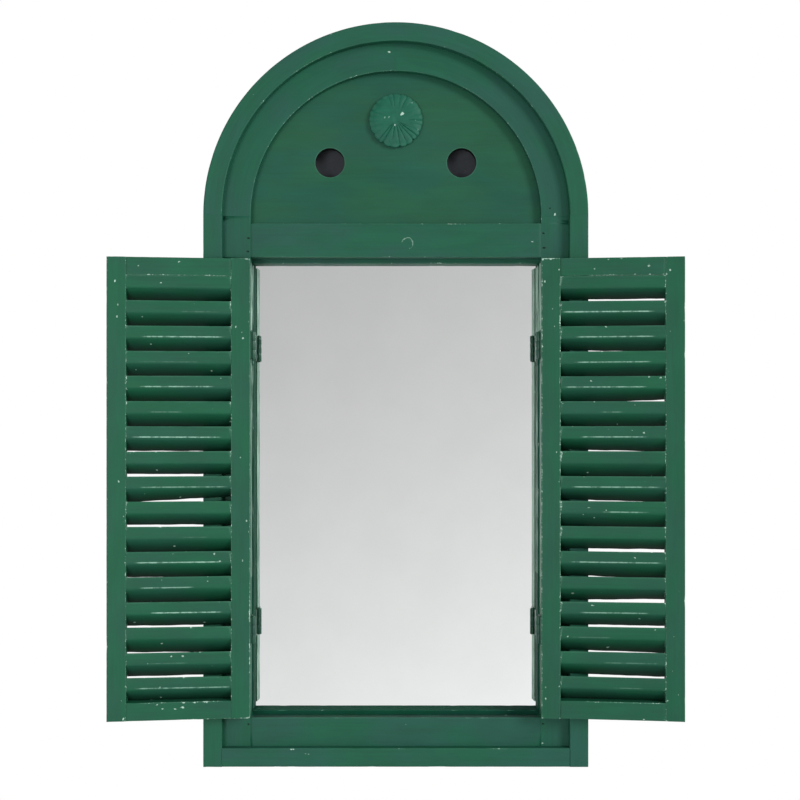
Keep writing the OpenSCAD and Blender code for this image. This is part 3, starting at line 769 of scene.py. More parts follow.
faceMid = (rimInner + openX) / 2
grooveEnd = panelBox[1].x + 0.3 * mm
faceSection = [(openX, boardBack), (rimInner, boardBack), (rimInner, boardFront), (openX, boardFront),
               (openX, panelFront), (grooveEnd, panelFront), (grooveEnd, panelBack), (openX, panelBack)]
nailHoles = {   # along and across the board, radius and depth in mm, dark or pale
    "left_stile": [(0.0165, -0.1503, 1.5, 0.8, -1.0), (0.0030, -0.1510, 1.6, 0.7, -1.0),
                   (-0.4790, -0.1502, 1.3, 0.7, -1.0)],
    "right_stile": [(0.0215, 0.1503, 1.4, 0.8, -1.0), (0.0065, 0.1508, 1.6, 0.7, -1.0),
                    (-0.4785, 0.1502, 1.3, 0.7, -1.0)],
    "arch_right": [(arc(2.9, faceMid), 0.1573, 1.2, 0.5, -1.0), (arc(0.6, faceMid), 0.1622, 1.0, 0.2, 0.7)],
    "arch_left": [(arc(92.2, faceMid), 0.1672, 0.9, 0.2, 0.6)],
}
# The opening's sides are painted pale along two stretches, painted sheen of the lit reveal as well as rubbing: the
# side, its ends and how pale it is.
sheenAndRubRuns = ((-0.078, -0.008), (-0.330, -0.110))
railJoins = [(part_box(rail)[0].z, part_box(rail)[1].z) for rail in ("face_bottom_rail", "face_cross_rail")]
for side, near, seed, tones in (("left", "w+", 5.2, (0.43, 0.37)), ("right", "w-", 6.4, (0.49, 0.38))):
    dressBoard(f"face_{side}_stile", upSpace, "board_paint", near + "d+", "s+d+", seed=seed,
               joins=railJoins, marks=nailHoles[side + "_stile"],
               scrubs=[(near, *run, tone) for run, tone in zip(sheenAndRubRuns, tones)])
for side, start, seed in (("left", 90, 7.9), ("right", 0, 8.5)):
    span = (arc(start, faceMid), arc(start + 90, faceMid))
    dressBoard("face_arch_" + side, archSpace(faceMid), "board_paint", "w-d+", "s-d+ s+d+", seed=seed,
               blank=stripOf(faceSection, *span), marks=nailHoles["arch_" + side],
               rubs=[(0, span[0], span[1] - arc(25, faceMid), 0.42)])
opening = (-openX, openX)
dressBoard("face_cross_rail", acrossSpace, "board_paint", "w-d+ w+d+", "s-d+ s+d+", extent=opening, seed=9.3,
           rubs=[(1, -0.12, 0.02, 0.25), (1, 0.05, 0.13, 0.2)],
           marks=[(0.0119, 0.0115, 0.8, 0.1, 0.42, 5.6)])      # a curled scuff
dressBoard("face_bottom_rail", acrossSpace, "board_paint", "w+d+", "s-d+ s+d+", extent=opening, seed=10.6,
           scrubs=[("w+", *opening, -0.40)])      # painted shade on its upper side, the floor of the opening
dressBoard("stop_top", acrossSpace, "board_paint", "w-d+", seed=11.2)
# the lower and side stops take the darker paint, painted shade; the side ones are also painted pale along the
# opening's stretches, painted sheen
dressBoard("stop_bottom", acrossSpace, "board_paint", "w+d+", seed=12.4, look="stop_paint")
dressBoard("stop_left", upSpace, "board_paint", "w+d+", seed=13.8, width=0.3 * mm, look="stop_paint",
           scrubs=[("d+", *sheenAndRubRuns[0], 0.43), ("d+", *sheenAndRubRuns[1], 0.36)])
dressBoard("stop_right", upSpace, "board_paint", "w-d+", seed=14.5, width=0.3 * mm, look="stop_paint",
           scrubs=[("w-", *sheenAndRubRuns[0], 0.51), ("d+", *sheenAndRubRuns[0], 0.48), ("w-", *sheenAndRubRuns[1], 0.39)])
print("face boards dressed")

shutterRubs = {   # the arris, from, to, and how worn
    "left": {
        "hinge_stile": [(0, -0.46, -0.24, 0.62), (0, -0.24, -0.01, 0.42), (1, -0.45, -0.02, 0.60),
                        (0, -0.372, -0.346, 1.2), (0, -0.412, -0.390, 1.3), (4, 0.003, 0.012, 0.9),
                        (5, 0.003, 0.009, 1.3), (1, -0.020, -0.006, 0.34), (1, -0.468, -0.450, 0.34)],
        "meeting_stile": [(0, -0.468, -0.006, 0.56), (1, -0.46, -0.01, 0.46)],
        "top_rail": [(0, 0.022, 0.124, 0.90)],
        "bottom_rail": [(1, 0.03, 0.11, 0.7), (1, 0.036, 0.050, 1.3), (0, 0.02, 0.06, 0.7)],
    },
    "right": {
        "hinge_stile": [(0, -0.468, -0.007, 0.90), (1, -0.40, -0.03, 0.72), (1, -0.076, -0.060, 1.2),
                        (4, 0.003, 0.021, 1.4), (1, -0.030, -0.006, 0.34), (1, -0.468, -0.450, 0.34)],
        "meeting_stile": [(0, -0.468, -0.41, 0.8), (0, -0.41, -0.006, 0.58)],
        "top_rail": [(0, 0.022, 0.124, 0.5), (0, 0.05, 0.078, 1.0)],
        "bottom_rail": [(1, 0.045, 0.122, 0.8)],
    },
}
chipDepth = 0.12
shutterChips = {   # along and across the board, radius in mm, and how pale
    "left": {
        "meeting_stile": [
            (-0.0312, 0.1358, 1.0, 0.55), (-0.0667, 0.1338, 0.8, 0.5), (-0.0548, 0.1329, 0.7, 0.5),
            (-0.4652, 0.1276, 0.9, 0.6), (-0.4522, 0.1244, 0.9, 0.6)],
        "bottom_rail": [
            (0.0695, -0.4556, 1.0, 0.8), (0.0770, -0.4569, 0.8, 0.5), (0.0895, -0.4563, 0.7, 0.5),
            (0.0688, -0.4505, 0.9, 0.75), (0.0576, -0.4508, 0.8, 0.75), (0.0945, -0.4521, 0.7, 0.5)],
    },
    "right": {
        "hinge_stile": [
            (-0.4482, 0.0069, 0.7, 0.5), (-0.4368, 0.0069, 0.6, 0.45), (-0.0576, 0.0138, 0.6, 0.45)],
        "meeting_stile": [
            (-0.0203, 0.1294, 0.9, 0.55), (-0.0307, 0.1238, 1.2, 0.7), (-0.0243, 0.1260, 0.8, 0.5)],
        "top_rail": [
            (0.0691, -0.0089, 0.7, 0.45), (0.0819, -0.0083, 0.6, 0.45), (0.1084, -0.0162, 0.9, 0.5),
            (0.0553, -0.0182, 0.7, 0.45)],
        "bottom_rail": [(0.1036, -0.4665, 0.7, 0.5)],
    },
}
louvre = {}      # from the hinge, where each shutter's louvre starts and ends
longArrises = "w-d+ w+d+ w-d- w+d-"


def dressShutterPart(side, part, space, arrises, **more):
    chips = [(s, w, radius, chipDepth, tone) for s, w, radius, tone in shutterChips[side].get(part, ())]
    dressBoard(f"{side}_{part}", space, "shutter_paint", arrises, body=side + "_shutter", width=0,
               marks=chips, rubs=shutterRubs[side][part], **more)


for side, seed in (("left", 20.0), ("right", 30.0)):
    upright = boardSpace(shutterMatrix(side), True)
    level = boardSpace(shutterMatrix(side), False)
    stiles = []
    for k, part in enumerate(("hinge_stile", "meeting_stile")):
        # the hinge stile's edge is painted pale so that its reflection in the mirror reads as a bright band:
        # painted reflection as well as wear
        dressShutterPart(side, part, upright, longArrises + " s+d+ s-d+ s+d- s-d- s+w- s+w+ s-w- s-w+",
                         seed=seed + k, scrubs=[("w-", -1.0, 1.0, 0.46)] if part == "hinge_stile" else ())
        stiles.append(spanOf([upright[0](v.co) for v in nodes[f"{side}_{part}"].data.vertices]))
    louvre[side] = (stiles[0][1][1], stiles[1][0][1])
    for k, part in enumerate(("top_rail", "bottom_rail")):
        dressShutterPart(side, part, level, longArrises, seams="s-d+ s+d+ s-d- s+d-", extent=louvre[side],
                         seed=seed + 3 + k)
print("shutter frames dressed")


def growMesh(name, base, tree, inputs):
    # run a node tree on a small base mesh and keep what it makes as a plain mesh
    holder = addObject(name, base)
    modifier = holder.modifiers.new(name, "NODES")
    modifier.node_group = tree
    sockets = {s.name: s.identifier for s in tree.interface.items_tree if s.in_out == "INPUT"}
    for label, value in inputs.items():
        modifier[sockets[label]] = value
    graph = bpy.context.evaluated_depsgraph_get()
    mesh = bpy.data.meshes.new_from_object(holder.evaluated_get(graph), preserve_all_data_layers=True,
                                           depsgraph=graph)
    bpy.data.objects.remove(holder)
    mesh.name = name
    return mesh


def pointMesh(name, points, rows):
    # loose points, each with its own row of values for a node tree to read
    mesh = bpy.data.meshes.new(name)
    mesh.from_pydata([tuple(p) for p in points], [], [])
    for key, first in rows[0].items():
        wide = hasattr(first, "__len__")
        layer = mesh.attributes.new(key, "FLOAT_VECTOR" if wide else "FLOAT", "POINT")
        flat = [x for row in rows for x in (row[key] if wide else (row[key],))]
        layer.data.foreach_set("vector" if wide else "value", flat)
    return mesh


def roundedOutline(corners, radii, steps=4):
    # a closed outline with each corner turned on its own radius
    made = []
    for k, (corner, radius) in enumerate(zip(corners, radii)):
        p = Vector(corner)
        a = (Vector(corners[k - 1]) - p).normalized()
        b = (Vector(corners[(k + 1) % len(corners)]) - p).normalized()
        half = a.angle(b) / 2
        centre = p + (a + b).normalized() * radius / math.sin(half)
        first = p + a * radius / math.tan(half) - centre
        last = p + b * radius / math.tan(half) - centre
        sweep = math.pi - 2 * half
        sign = 1 if first.x * last.y - first.y * last.x > 0 else -1
        for i in range(steps + 1):
            made.append(centre + Matrix.Rotation(sign * sweep * i / steps, 2) @ first)
    return made


slatShape = {
    "face": 12.6 * mm,     # height of the flat front
    "slit": 0.8 * mm,      # open behind it, as the frame has it
    "nose": 3.6 * mm,      # radius on the lower front edge
    "rubAt": 1.6 * mm,     # the line that handling rubs pale, above that edge
    "ease": 0.2 * mm,      # on the other arrises
    "stub": 5.0 * mm,      # tenon at each end
    "shoulder": 2.0 * mm,
    "step": 2.6 * mm,      # between two sections along a slat
    "underside": 1.2 * mm,      # how deep into the slat its underside's painted shade and droop are felt
    "knock": 0.65 * mm,
    "wave": 0.16 * mm,
    "ragged": 0.0018,      # unevenness of the hanging back edge
}
slatDraws = {"rise": 0.2 * mm, "tilt": 0.9, "cant": 0.18}      # either way, the turns in degrees
# How much lower than the frame's own each slat's back edge hangs, in mm, at the hinge and at the far end.
slatHang = {
    "left": [
        (0.5, 0.5), (0.8, 0.8), (1.1, 1.1), (1.4, 1.4), (1.7, 1.7), (1.9, 1.9), (1.0, 1.0), (-0.5, -1.2),
        (-2.4, 2.5), (0.9, 0.3), (3.2, 3.2), (2.9, 2.9), (3.8, 3.8), (1.8, 1.7), (4.2, 3.3), (2.0, 2.0),
        (1.6, 1.6)],
    "right": [
        (-1.5, -1.7), (0.8, 0.8), (-0.8, 1.9), (1.4, 1.4), (3.3, -0.2), (1.9, 1.9), (-0.7, 1.9), (2.5, 2.5),
        (-0.2, 2.6), (3.0, 3.0), (-0.4, -0.4), (1.5, 4.1), (1.6, -0.3), (1.5, 1.5), (1.7, 3.9), (0.5, 2.5),
        (1.6, 1.6)],
}
# The pale line on the lower front edge of each: from and to, as shares from the hinge, and how pale.
slatRuns = {
    "left": [
        (0, 0, 0), (0.1, 0.5, 0.15), (0.06, 0.87, 0.8), (0.3, 0.9, 0.12), (0.16, 0.88, 0.8), (0.45, 0.8, 0.2),
        (0.09, 0.95, 0.9), (0, 0, 0), (0.03, 0.88, 0.5), (0, 0, 0), (0.2, 0.5, 0.1), (0.09, 0.92, 0.9),
        (0.35, 0.88, 0.6), (0.08, 0.78, 0.9), (0, 0, 0), (0.4, 0.8, 0.15), (0, 0.92, 0.6)],
    "right": [
        (0, 0, 0), (0.01, 0.9, 0.9), (0.13, 0.91, 0.7), (0.13, 0.87, 0.7), (0.02, 0.83, 0.7),
        (0.37, 0.61, 0.3), (0.18, 0.83, 0.7), (0, 0, 0), (0.1, 0.97, 0.7), (0.39, 0.85, 0.6), (0, 0, 0), (0.09, 0.97, 0.7),
        (0, 0, 0), (0.18, 0.85, 0.6), (0.1, 0.5, 0.15), (0.4, 0.95, 0.2), (0.5, 0.8, 0.15)],
}


def slatCorners(thick, drop, shoulder=0.0):
    # the corners (v, z) of a slat's section round its own centre, or of its stub tenon's
    face = slatShape["face"]
    top = (face + drop) / 2
    half = thick / 2 - shoulder
    high = [top - shoulder - (thick / 2 - v) * drop / thick for v in (half, -half)]
    low = [z + 2 * shoulder - face for z in high]
    return [(half, high[0]), (-half, high[1]), (-half, low[1]), (half, low[0])]


def slatBlank(length, thick, drop):
    # one slat: u along it, v to the inside face, z up
    s = slatShape
    corners = slatCorners(thick, drop)
    section = roundedOutline(corners, [s["ease"], s["ease"], s["ease"], s["nose"]])
    stub = roundedOutline(slatCorners(thick, drop, s["shoulder"]), [s["ease"]] * 4)
    bm = bmesh.new()
    tell = layersOf(bm, "arris", "tail", "nose")
    inward = bm.verts.layers.float_vector.new("inward")
    count = round(length / s["step"])
    stations = [(length * (i / count - 0.5), section) for i in range(count + 1)]
    ends = ((-1, s["stub"]), (-1, 0), (1, 0), (1, s["stub"]))
    shoulders = [(way * (length / 2 + out), stub) for way, out in ends]
    rows = []
    for u, outline in shoulders[:2] + stations + shoulders[2:]:
        row = [bm.verts.new((u, v, z)) for v, z in outline]
        for vert in row:
            _, v, z = vert.co
            vert[tell["grain"]] = (u, z, v)
            vert[tell["arris"]] = wear["reach"]
            vert[tell["nose"]] = wear["reach"]
            if outline is stub:
                continue
            upper = math.hypot(v - corners[0][0], z - corners[0][1])
            lower = math.hypot(v - corners[3][0], z - corners[3][1])
            under = z < corners[3][1] + (v - thick / 2) * drop / thick + s["underside"]
            end = length / 2 - abs(u)
            vert[tell["arris"]] = min(upper, end + 0.5 * mm, wear["reach"])
            vert[tell["tail"]] = max(0.0, min(1.0, 0.5 - v / thick)) if under else 0.0
            vert[tell["nose"]] = math.hypot(v - corners[3][0], z - corners[3][1] - s["rubAt"])
            fade = max(0.0, 1 - min(upper, lower) / wear["nickWidth"])
            vert[inward] = Vector((0, -0.7, -0.7 if upper < lower else 0.5)) * fade
        rows.append(row)
    return objectFrom(closeTube(bm, rows), "slat_blank")


def slatTree():
    # a slat at every point, turned and worn by the point's own values
    tree, t, give, take = newGroup("hang_slats", {
        "Places": "Geometry", "Slat": "Object", "Paint": "Material", "Length": "Float", "Knock": "Float",
        "Wave": "Float"}, {"Slats": "Geometry"}, "GeometryNodeTree")
    slat = t.out("GeometryNodeObjectInfo", "Geometry", Object=give["Slat"])
    turn = t.out("FunctionNodeEulerToRotation", i0=t.named("turn", "FLOAT_VECTOR"))
    hung = t.out("GeometryNodeInstanceOnPoints", Points=give["Places"], Instance=slat, Rotation=turn)
    solid = t.out("GeometryNodeRealizeInstances", Geometry=hung)
    grain = t.named("grain", "FLOAT_VECTOR")
    along = t.split(grain)[0]
    seed = t.named("seed")

    def alongNoise(scale, detail):
        return t.out("ShaderNodeTexNoise", 0, {"noise_dimensions": "4D"}, Vector=t.join(along), W=seed,
                     Scale=scale, Detail=detail)

    nick = t.ramp(alongNoise(120.0, 2.0), 0.60, 0.74)
    wave = alongNoise(48.0, 3.0) - 0.5
    deep = nick * give["Knock"] + wave * give["Wave"]
    share = t.math("ADD", t.math("DIVIDE", along, give["Length"]), 0.5, clamp=True)
    off = t.math("ABSOLUTE", share - t.named("runMiddle"))
    rubbed = t.ramp(t.named("runHalf") - off, 0.0, 0.07) * t.named("runPale")
    near = t.named("hangNear")
    hang = near + share * (t.named("hangFar") - near)
    fall = (hang + wave * slatShape["ragged"]) * t.named("tail") * -1.0
    offset = t.scaled(t.named("inward", "FLOAT_VECTOR"), deep) + t.join(0.0, 0.0, fall)
    inside = (0.5 - t.math("ABSOLUTE", share - 0.5)) * give["Length"]
    rough = t.noise(grain + t.join(seed, seed), 210.0, 2.0)
    ends = t.ramp(inside, 0.8 * mm, 3.0 * mm, 0.95, 0.0) * t.ramp(rough, 0.46, 0.58)
    told = solid
    for name, value in (("nick", t.most(nick * 0.6, ends)), ("rubbed", rubbed)):
        told = t.out("GeometryNodeStoreNamedAttribute", 0, {"data_type": "FLOAT", "domain": "POINT"},
                     Geometry=told, Name=name, Value=value)
    moved = t.out("GeometryNodeSetPosition", Geometry=told, Offset=offset)
    t.feed(take, {"Slats": t.out("GeometryNodeSetMaterial", Geometry=moved, Material=give["Paint"])})
    return tree


def hangSlats():
    tree = slatTree()
    for side in ("left", "right"):
        there = boardSpace(shutterMatrix(side), True)[0]
        low, high = spanOf([there(v.co) for v in nodes[side + "_hinge_stile"].data.vertices])
        thick = high[2] - low[2]
        length = louvre[side][1] - louvre[side][0]
        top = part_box(side + "_top_rail")[0].z
        pitch = (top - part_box(side + "_bottom_rail")[1].z) / len(slatHang[side])
        drop = pitch - slatShape["face"] - slatShape["slit"]
        draw = random.Random(side)

        def either(key):
            return draw.uniform(-slatDraws[key], slatDraws[key])

        points = []
        rows = []
        for i, ((near, far), (start, end, pale)) in enumerate(zip(slatHang[side], slatRuns[side])):
            middle = top - i * pitch - (slatShape["face"] + drop) / 2
            points.append((sum(louvre[side]) / 2, (high[2] + low[2]) / 2, middle + either("rise")))
            rows.append({
                "turn": (math.radians(either("tilt")), math.radians(either("cant")), 0.0),
                "seed": draw.uniform(0, 40), "hangNear": near * mm, "hangFar": far * mm,
                "runMiddle": (start + end) / 2, "runHalf": (end - start) / 2, "runPale": pale})
        blank = slatBlank(length, thick, drop)
        mesh = growMesh(side + "_slats_worn", pointMesh("slat_places", points, rows), tree, {
            "Slat": blank, "Paint": materials["slat_paint"], "Length": length, "Knock": slatShape["knock"],
            "Wave": slatShape["wave"]})
        bpy.data.objects.remove(blank)
        mesh.transform(shutterMatrix(side))
        if side == "right":
            mesh.flip_normals()
        finishPiece(mesh, "slat_paint", side + "_shutter", side + "_slats", smooth=40)


hangSlats()
print("slats hung")

rosetteShape = {
    "petals": 24, "across": 8,            # steps across one petal
    "rings": [0.09, 0.14, 0.18, 0.22, 0.27, 0.34, 0.42, 0.50, 0.58, 0.66, 0.74, 0.81, 0.87, 0.92, 0.96,
              0.985],
    "groove": 1.2 * mm, "notch": 1.0 * mm,
    "deepNotches": {16: 2.6, 18: 1.9, 20: 2.2, 14: 1.7},     # by petal, in notches
    "dishR": 3.4 * mm, "dishDepth": 0.9 * mm,
    "crownR": 16.0 * mm, "crownDrop": 0.3 * mm, "edgeHeight": 3.9 * mm,
    "root": (10 * mm, 17 * mm), "longRoot": 3 * mm,      # where the grooves start; the low ones start early
    "lowPetals": range(15, 22),
    "dent": 0.28 * mm,
    "chips": ((6.4, 5.9, 1.5, 1.0), (-10.9, 2.2, 1.1, 0.50), (-7.1, 2.8, 1.1, 0.50),
              (-0.9, -5.2, 1.1, 0.50), (19.6, -0.4, 1.1, 0.46), (22.6, -9.8, 1.2, 0.46),
              (16.2, 17.4, 1.5, 0.44)),       # x, z and size in mm, and how pale
}


def carveRosette():
    s = rosetteShape
    low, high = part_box("rosette")
    middle = (low + high) / 2
    radius = (high.x - low.x) / 2
    thick = high.y - low.y
    crown = thick - s["crownDrop"]
    draw = random.Random(11)
    widths = [1 + draw.uniform(-0.34, 0.34) for _ in range(s["petals"])]
    reaches = [1 - draw.uniform(0.0, 0.02) for _ in range(s["petals"])]
    depths = [draw.uniform(0.22, 0.70) for _ in range(s["petals"])]
    roots = [draw.uniform(*s["root"]) for _ in range(s["petals"])]
    for petal in s["lowPetals"]:
        depths[petal] = draw.uniform(0.65, 1.0)
        roots[petal] = s["longRoot"]
    starts = [0.0]
    for width in widths:
        starts.append(starts[-1] + width * 2 * math.pi / sum(widths))

    bm = bmesh.new()
    tell = layersOf(bm, "arris", "nick", "mark", "seed")

    def place(turn, r, height, arris):
        x = math.cos(turn) * r
        z = math.sin(turn) * r
        vert = bm.verts.new((middle.x + x, high.y - height, middle.z + z))
        vert[tell["grain"]] = (x, z, height)
        vert[tell["arris"]] = arris
        vert[tell["seed"]] = 41.0
        return vert

    def heightAt(r, swell, petal, turn):
        # flat crown, a dish in the middle, and a round fall to the petals' tips
        height = crown
        if r < s["dishR"]:
            height -= s["dishDepth"] * math.cos(r / s["dishR"] * math.pi / 2) ** 0.8
        fall = max(0.0, (r - s["crownR"]) / (radius - s["crownR"]))
        height -= (thick - s["edgeHeight"]) * fall ** 2.2
        groove = min(1.0, max(0.0, (r - roots[petal]) / (5 * mm)))
        height -= s["groove"] * depths[petal] * groove * (1 - swell) ** 1.3
        dents = noise.noise(Vector((math.cos(turn) * r, math.sin(turn) * r, 0.3)) * 190)
        return height + s["dent"] * max(-1.0, min(1.0, dents * 1.6))

    loops = [[] for _ in s["rings"]] + [[], [], []]
    for petal in range(s["petals"]):
        for i in range(s["across"]):
            share = i / s["across"]
            swell = math.sin(math.pi * share) ** 0.75 if share else 0.0
            turn = starts[petal] + (starts[petal + 1] - starts[petal]) * share
            closest = petal if share < 0.5 else (petal + 1) % s["petals"]
            notch = s["notch"] * s["deepNotches"].get(closest, 0.7)
            edge = radius * reaches[petal] - notch * (1 - swell) ** 1.1
            for ring, loop in zip(s["rings"], loops):
                r = ring * edge
                away = wear["reach"] if ring < 0.87 else (1 - ring) * 0.16 * radius + 1.0 * mm * (1 - swell)
                loop.append(place(turn, r, heightAt(r, swell, petal, turn), away))
            tip = heightAt(edge, swell, petal, turn)
            loops[-3].append(place(turn, edge, tip - 0.5 * mm, 0.3 * mm + 1.5 * mm * (1 - swell)))
            loops[-2].append(place(turn, edge - 0.1 * mm, tip * 0.45, wear["reach"]))
            loops[-1].append(place(turn, edge - 0.35 * mm, 0.0, wear["reach"]))
    centre = place(0.0, 0.0, crown - s["dishDepth"], wear["reach"])
    count = len(loops[0])
    for k in range(count):
        n = (k + 1) % count
        bm.faces.new((centre, loops[0][n], loops[0][k]))
        for a, b in zip(loops, loops[1:]):
            bm.faces.new((a[k], a[n], b[n], b[k]))
    bm.faces.new(loops[-1])
    for x, z, size, tone in s["chips"]:
        for v in bm.verts:
            spot = v[tell["grain"]]
            if math.hypot(spot.x - x * mm, spot.y - z * mm) < size * mm:
                v[tell["mark"]] = tone
    finishPiece(meshFrom(bm, "rosette_carved"), "rosette_paint", "frame", "rosette", smooth=60)


carveRosette()
print("rosette carved")


def dressPanel():
    # the frame's panel with the front edges of its holes rubbed round
    bm = copyOf("tympanum_panel")
    front = [e for e in bm.edges if all(abs(v.co.y + panelFront) < 1e-5 for v in e.verts)]
    rims = [e for e in front if any(all(abs(math.hypot(v.co.x - h.x, v.co.z - h.z) - eyeR) < 0.2 * mm
                                        for v in e.verts) for h in eyeHoles)]
    bevelEdges(bm, rims, 0.5 * mm, 3, clamp=False)
    tell = layersOf(bm, "arris", "seed")
    for v in bm.verts:
        v[tell["grain"]] = (v.co.x, v.co.z, -v.co.y)
        v[tell["arris"]] = wear["reach"]
        v[tell["seed"]] = 44.0
    bmesh.ops.triangulate(bm, faces=bm.faces)
    finishPiece(meshFrom(bm, "tympanum_panel_painted"), "panel_paint", "frame", "tympanum_panel")


dressPanel()
for node, slot in (("mirror_glass", "mirror"), ("back_panel", "hardboard")):
    nodes[node].data.materials.clear()
    nodes[node].data.materials.append(materials[slot])
print("panel, glass and back finished")


def dressMetal(node, slot, body, width):
    # the frame's own plate with its edges taken off
    bm = copyOf(node)
    sharp = [e for e in bm.edges if len(e.link_faces) == 2 and e.calc_face_angle() > math.radians(40)]
    bevelEdges(bm, sharp, width, 2)
    bmesh.ops.triangulate(bm, faces=bm.faces)
    finishPiece(meshFrom(bm, node + "_eased"), slot, body, node, smooth=40)


for side in ("left", "right"):
    for height in ("upper", "lower"):
        for part, body, width in (("frame_leaf", "frame", 0.15), ("shutter_leaf", side + "_shutter", 0.15),
                                  ("hinge_pin", "frame", 0.12)):
            dressMetal(f"{side}_{height}_{part}", "hinge_paint", body, width * mm)
    dressMetal(side + "_hanger_plate", "zinc", "frame", 0.2 * mm)
print("hinges and hanger plates eased")


def islands(node):
    # the separate solids of a node, each as a list of its points
    bm = copyOf(node, plain=False)
    waiting = dict.fromkeys(bm.verts)
    found = []
    while waiting:
        solid = [next(iter(waiting))]
        del waiting[solid[0]]
        for v in solid:
            near = [other for other in (e.other_vert(v) for e in v.link_edges) if other in waiting]
            solid += near
            for other in near:
                del waiting[other]
        found.append([v.co.copy() for v in solid])
    bm.free()
    return found


def headPlaces(node, into):
    # where each fastener's head lies, and the way it goes in; into gives that way for a solid
    points = []
    aims = []
    for solid in islands(node):
        low, high = spanOf(solid)
        middle = (low + high) / 2
        aim = into(middle)
        start = min(p.dot(aim) for p in solid)
        points.append(middle + aim * (start - middle.dot(aim)))
        aims.append(aim)
    return points, aims


def lathe(profile, segments, bend=None):
    # revolve (radius, height) round z; bend may change a radius with height and turn
    bm = bmesh.new()
    loops = []
    for radius, z in profile:
        loop = []
        for k in range(segments):
            turn = 2 * math.pi * k / segments
            r = bend(radius, z, turn) if bend else radius
            loop.append(bm.verts.new((r * math.cos(turn), r * math.sin(turn), z)))
        loops.append(loop)
    return closeTube(bm, loops)


fastenerShapes = {
    "hinge_screw": {"r": 0.9 * mm, "head": 2.1 * mm, "length": 10 * mm, "pitch": 1.1 * mm},
    "hanger_screw": {"r": 1.4 * mm, "head": 2.8 * mm, "length": 16 * mm, "pitch": 1.5 * mm},
    "tack": {"r": 0.7 * mm, "head": 2.2 * mm, "crown": 0.8 * mm, "length": 8 * mm},
}


def screwBlank(s):
    # countersunk head at the origin, threaded shank along +z
    neck = s["head"] - s["r"]
    tip = s["length"] - 2.2 * s["r"]
    steps = round((tip - neck) / (s["pitch"] / 5))
    profile = [(s["head"] - 0.12 * mm, 0.0), (s["head"], 0.12 * mm), (s["r"], neck)]
    profile += [(s["r"], neck + (tip - neck) * i / steps) for i in range(1, steps + 1)]
    profile += [(s["r"] * 0.6, tip + 1.1 * s["r"]), (0.1 * mm, s["length"])]

    def thread(radius, z, turn):
        if z <= neck or z > tip + 0.5 * s["r"]:
            return radius
        phase = (z / s["pitch"] + turn / (2 * math.pi)) % 1.0
        return radius * (0.72 + 0.28 * abs(2 * phase - 1))

    screw = objectFrom(lathe(profile, 18, thread), "screw_blank")
    slot = bmesh.new()
    bmesh.ops.create_cube(slot, size=1.0)
    bmesh.ops.scale(slot, vec=(3 * s["head"], s["head"] / 5, s["head"] / 2.5), verts=slot.verts)
    cutter = objectFrom(slot, "slot_cutter")
    cut = screw.modifiers.new("slot", "BOOLEAN")
    cut.operation = "DIFFERENCE"
    cut.object = cutter
    cut.solver = "EXACT"
    graph = bpy.context.evaluated_depsgraph_get()
    screw.data = bpy.data.meshes.new_from_object(screw.evaluated_get(graph), depsgraph=graph)
    screw.modifiers.clear()
    bpy.data.objects.remove(cutter)
    return screw


def tackBlank(s):
    # domed head with its rim at the origin, plain pointed shank along +z
    rise = [(0.15, 1.0), (0.45, 0.96), (0.72, 0.80), (0.92, 0.48), (1.0, 0.12), (0.97, 0.0)]
    profile = [(share * s["head"], -up * s["crown"]) for share, up in rise]
    profile += [(s["r"], 0.0), (s["r"], s["length"] - 2 * mm), (0.08 * mm, s["length"])]
    return objectFrom(lathe(profile, 16), "tack_blank")


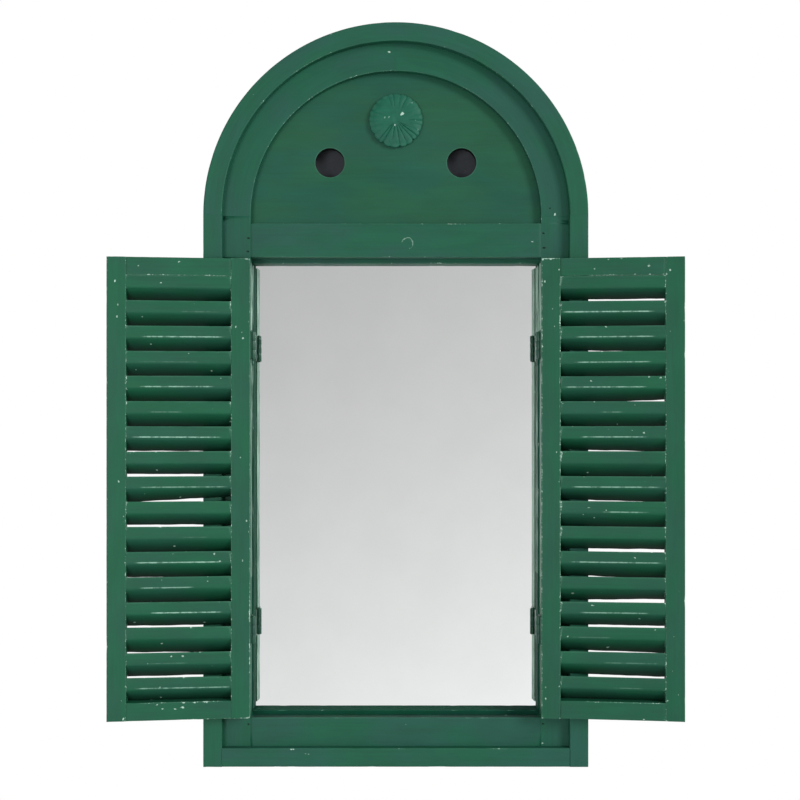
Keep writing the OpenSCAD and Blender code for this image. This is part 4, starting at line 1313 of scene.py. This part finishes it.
def fastenerTree():
    # a fastener at every point, aimed into the wood and turned at random
    tree, t, give, take = newGroup("set_fasteners", {
        "Places": "Geometry", "Fastener": "Object", "Finish": "Material", "Seed": "Int"},
        {"Set": "Geometry"}, "GeometryNodeTree")
    part = t.out("GeometryNodeObjectInfo", "Geometry", Object=give["Fastener"])
    aim = t.named("aim", "FLOAT_VECTOR")
    aimed = t.out("FunctionNodeAlignRotationToVector", 0, {"axis": "Z"}, Vector=aim)
    spin = t.out("FunctionNodeRandomValue", 1, {"data_type": "FLOAT"}, i2=0.0, i3=math.pi, Seed=give["Seed"])
    turn = t.out("FunctionNodeEulerToRotation", i0=t.join(0.0, 0.0, spin))
    turned = t.out("FunctionNodeRotateRotation", 0, {"rotation_space": "LOCAL"}, i0=aimed, i1=turn)
    put = t.out("GeometryNodeInstanceOnPoints", Points=give["Places"], Instance=part, Rotation=turned)
    solid = t.out("GeometryNodeRealizeInstances", Geometry=put)
    t.feed(take, {"Set": t.out("GeometryNodeSetMaterial", Geometry=solid, Material=give["Finish"])})
    return tree


def setFasteners():
    tree = fastenerTree()
    blanks = {name: (tackBlank if name == "tack" else screwBlank)(s) for name, s in fastenerShapes.items()}
    wayIn = {side: (shutterMatrix(side).to_3x3() @ Vector((1, 0, 0))) for side in ("left", "right")}
    forward = Vector((0, -1, 0))
    jobs = (
        ("frame_hinge_screws", "hinge_screw", "hinge_paint", "frame",
         lambda p: Vector((math.copysign(1, p.x), 0, 0))),
        ("left_hinge_screws", "hinge_screw", "hinge_paint", "left_shutter", lambda p: wayIn["left"]),
        ("right_hinge_screws", "hinge_screw", "hinge_paint", "right_shutter", lambda p: wayIn["right"]),
        ("hanger_screws", "hanger_screw", "zinc", "frame", lambda p: forward),
        ("back_panel_tacks", "tack", "zinc", "frame", lambda p: forward),
    )
    for seed, (node, blank, slot, body, into) in enumerate(jobs):
        points, aims = headPlaces(node, into)
        if blank == "tack":      # its head lies on the board, not in it
            points = [p + aim * fastenerShapes["tack"]["crown"] for p, aim in zip(points, aims)]
        base = pointMesh("heads", points, [{"aim": tuple(aim)} for aim in aims])
        mesh = growMesh(node + "_set", base, tree, {
            "Fastener": blanks[blank], "Finish": materials[slot], "Seed": seed})
        finishPiece(mesh, slot, body, node, smooth=40)
    for blank in blanks.values():
        bpy.data.objects.remove(blank)


setFasteners()
print("screws and tacks set")
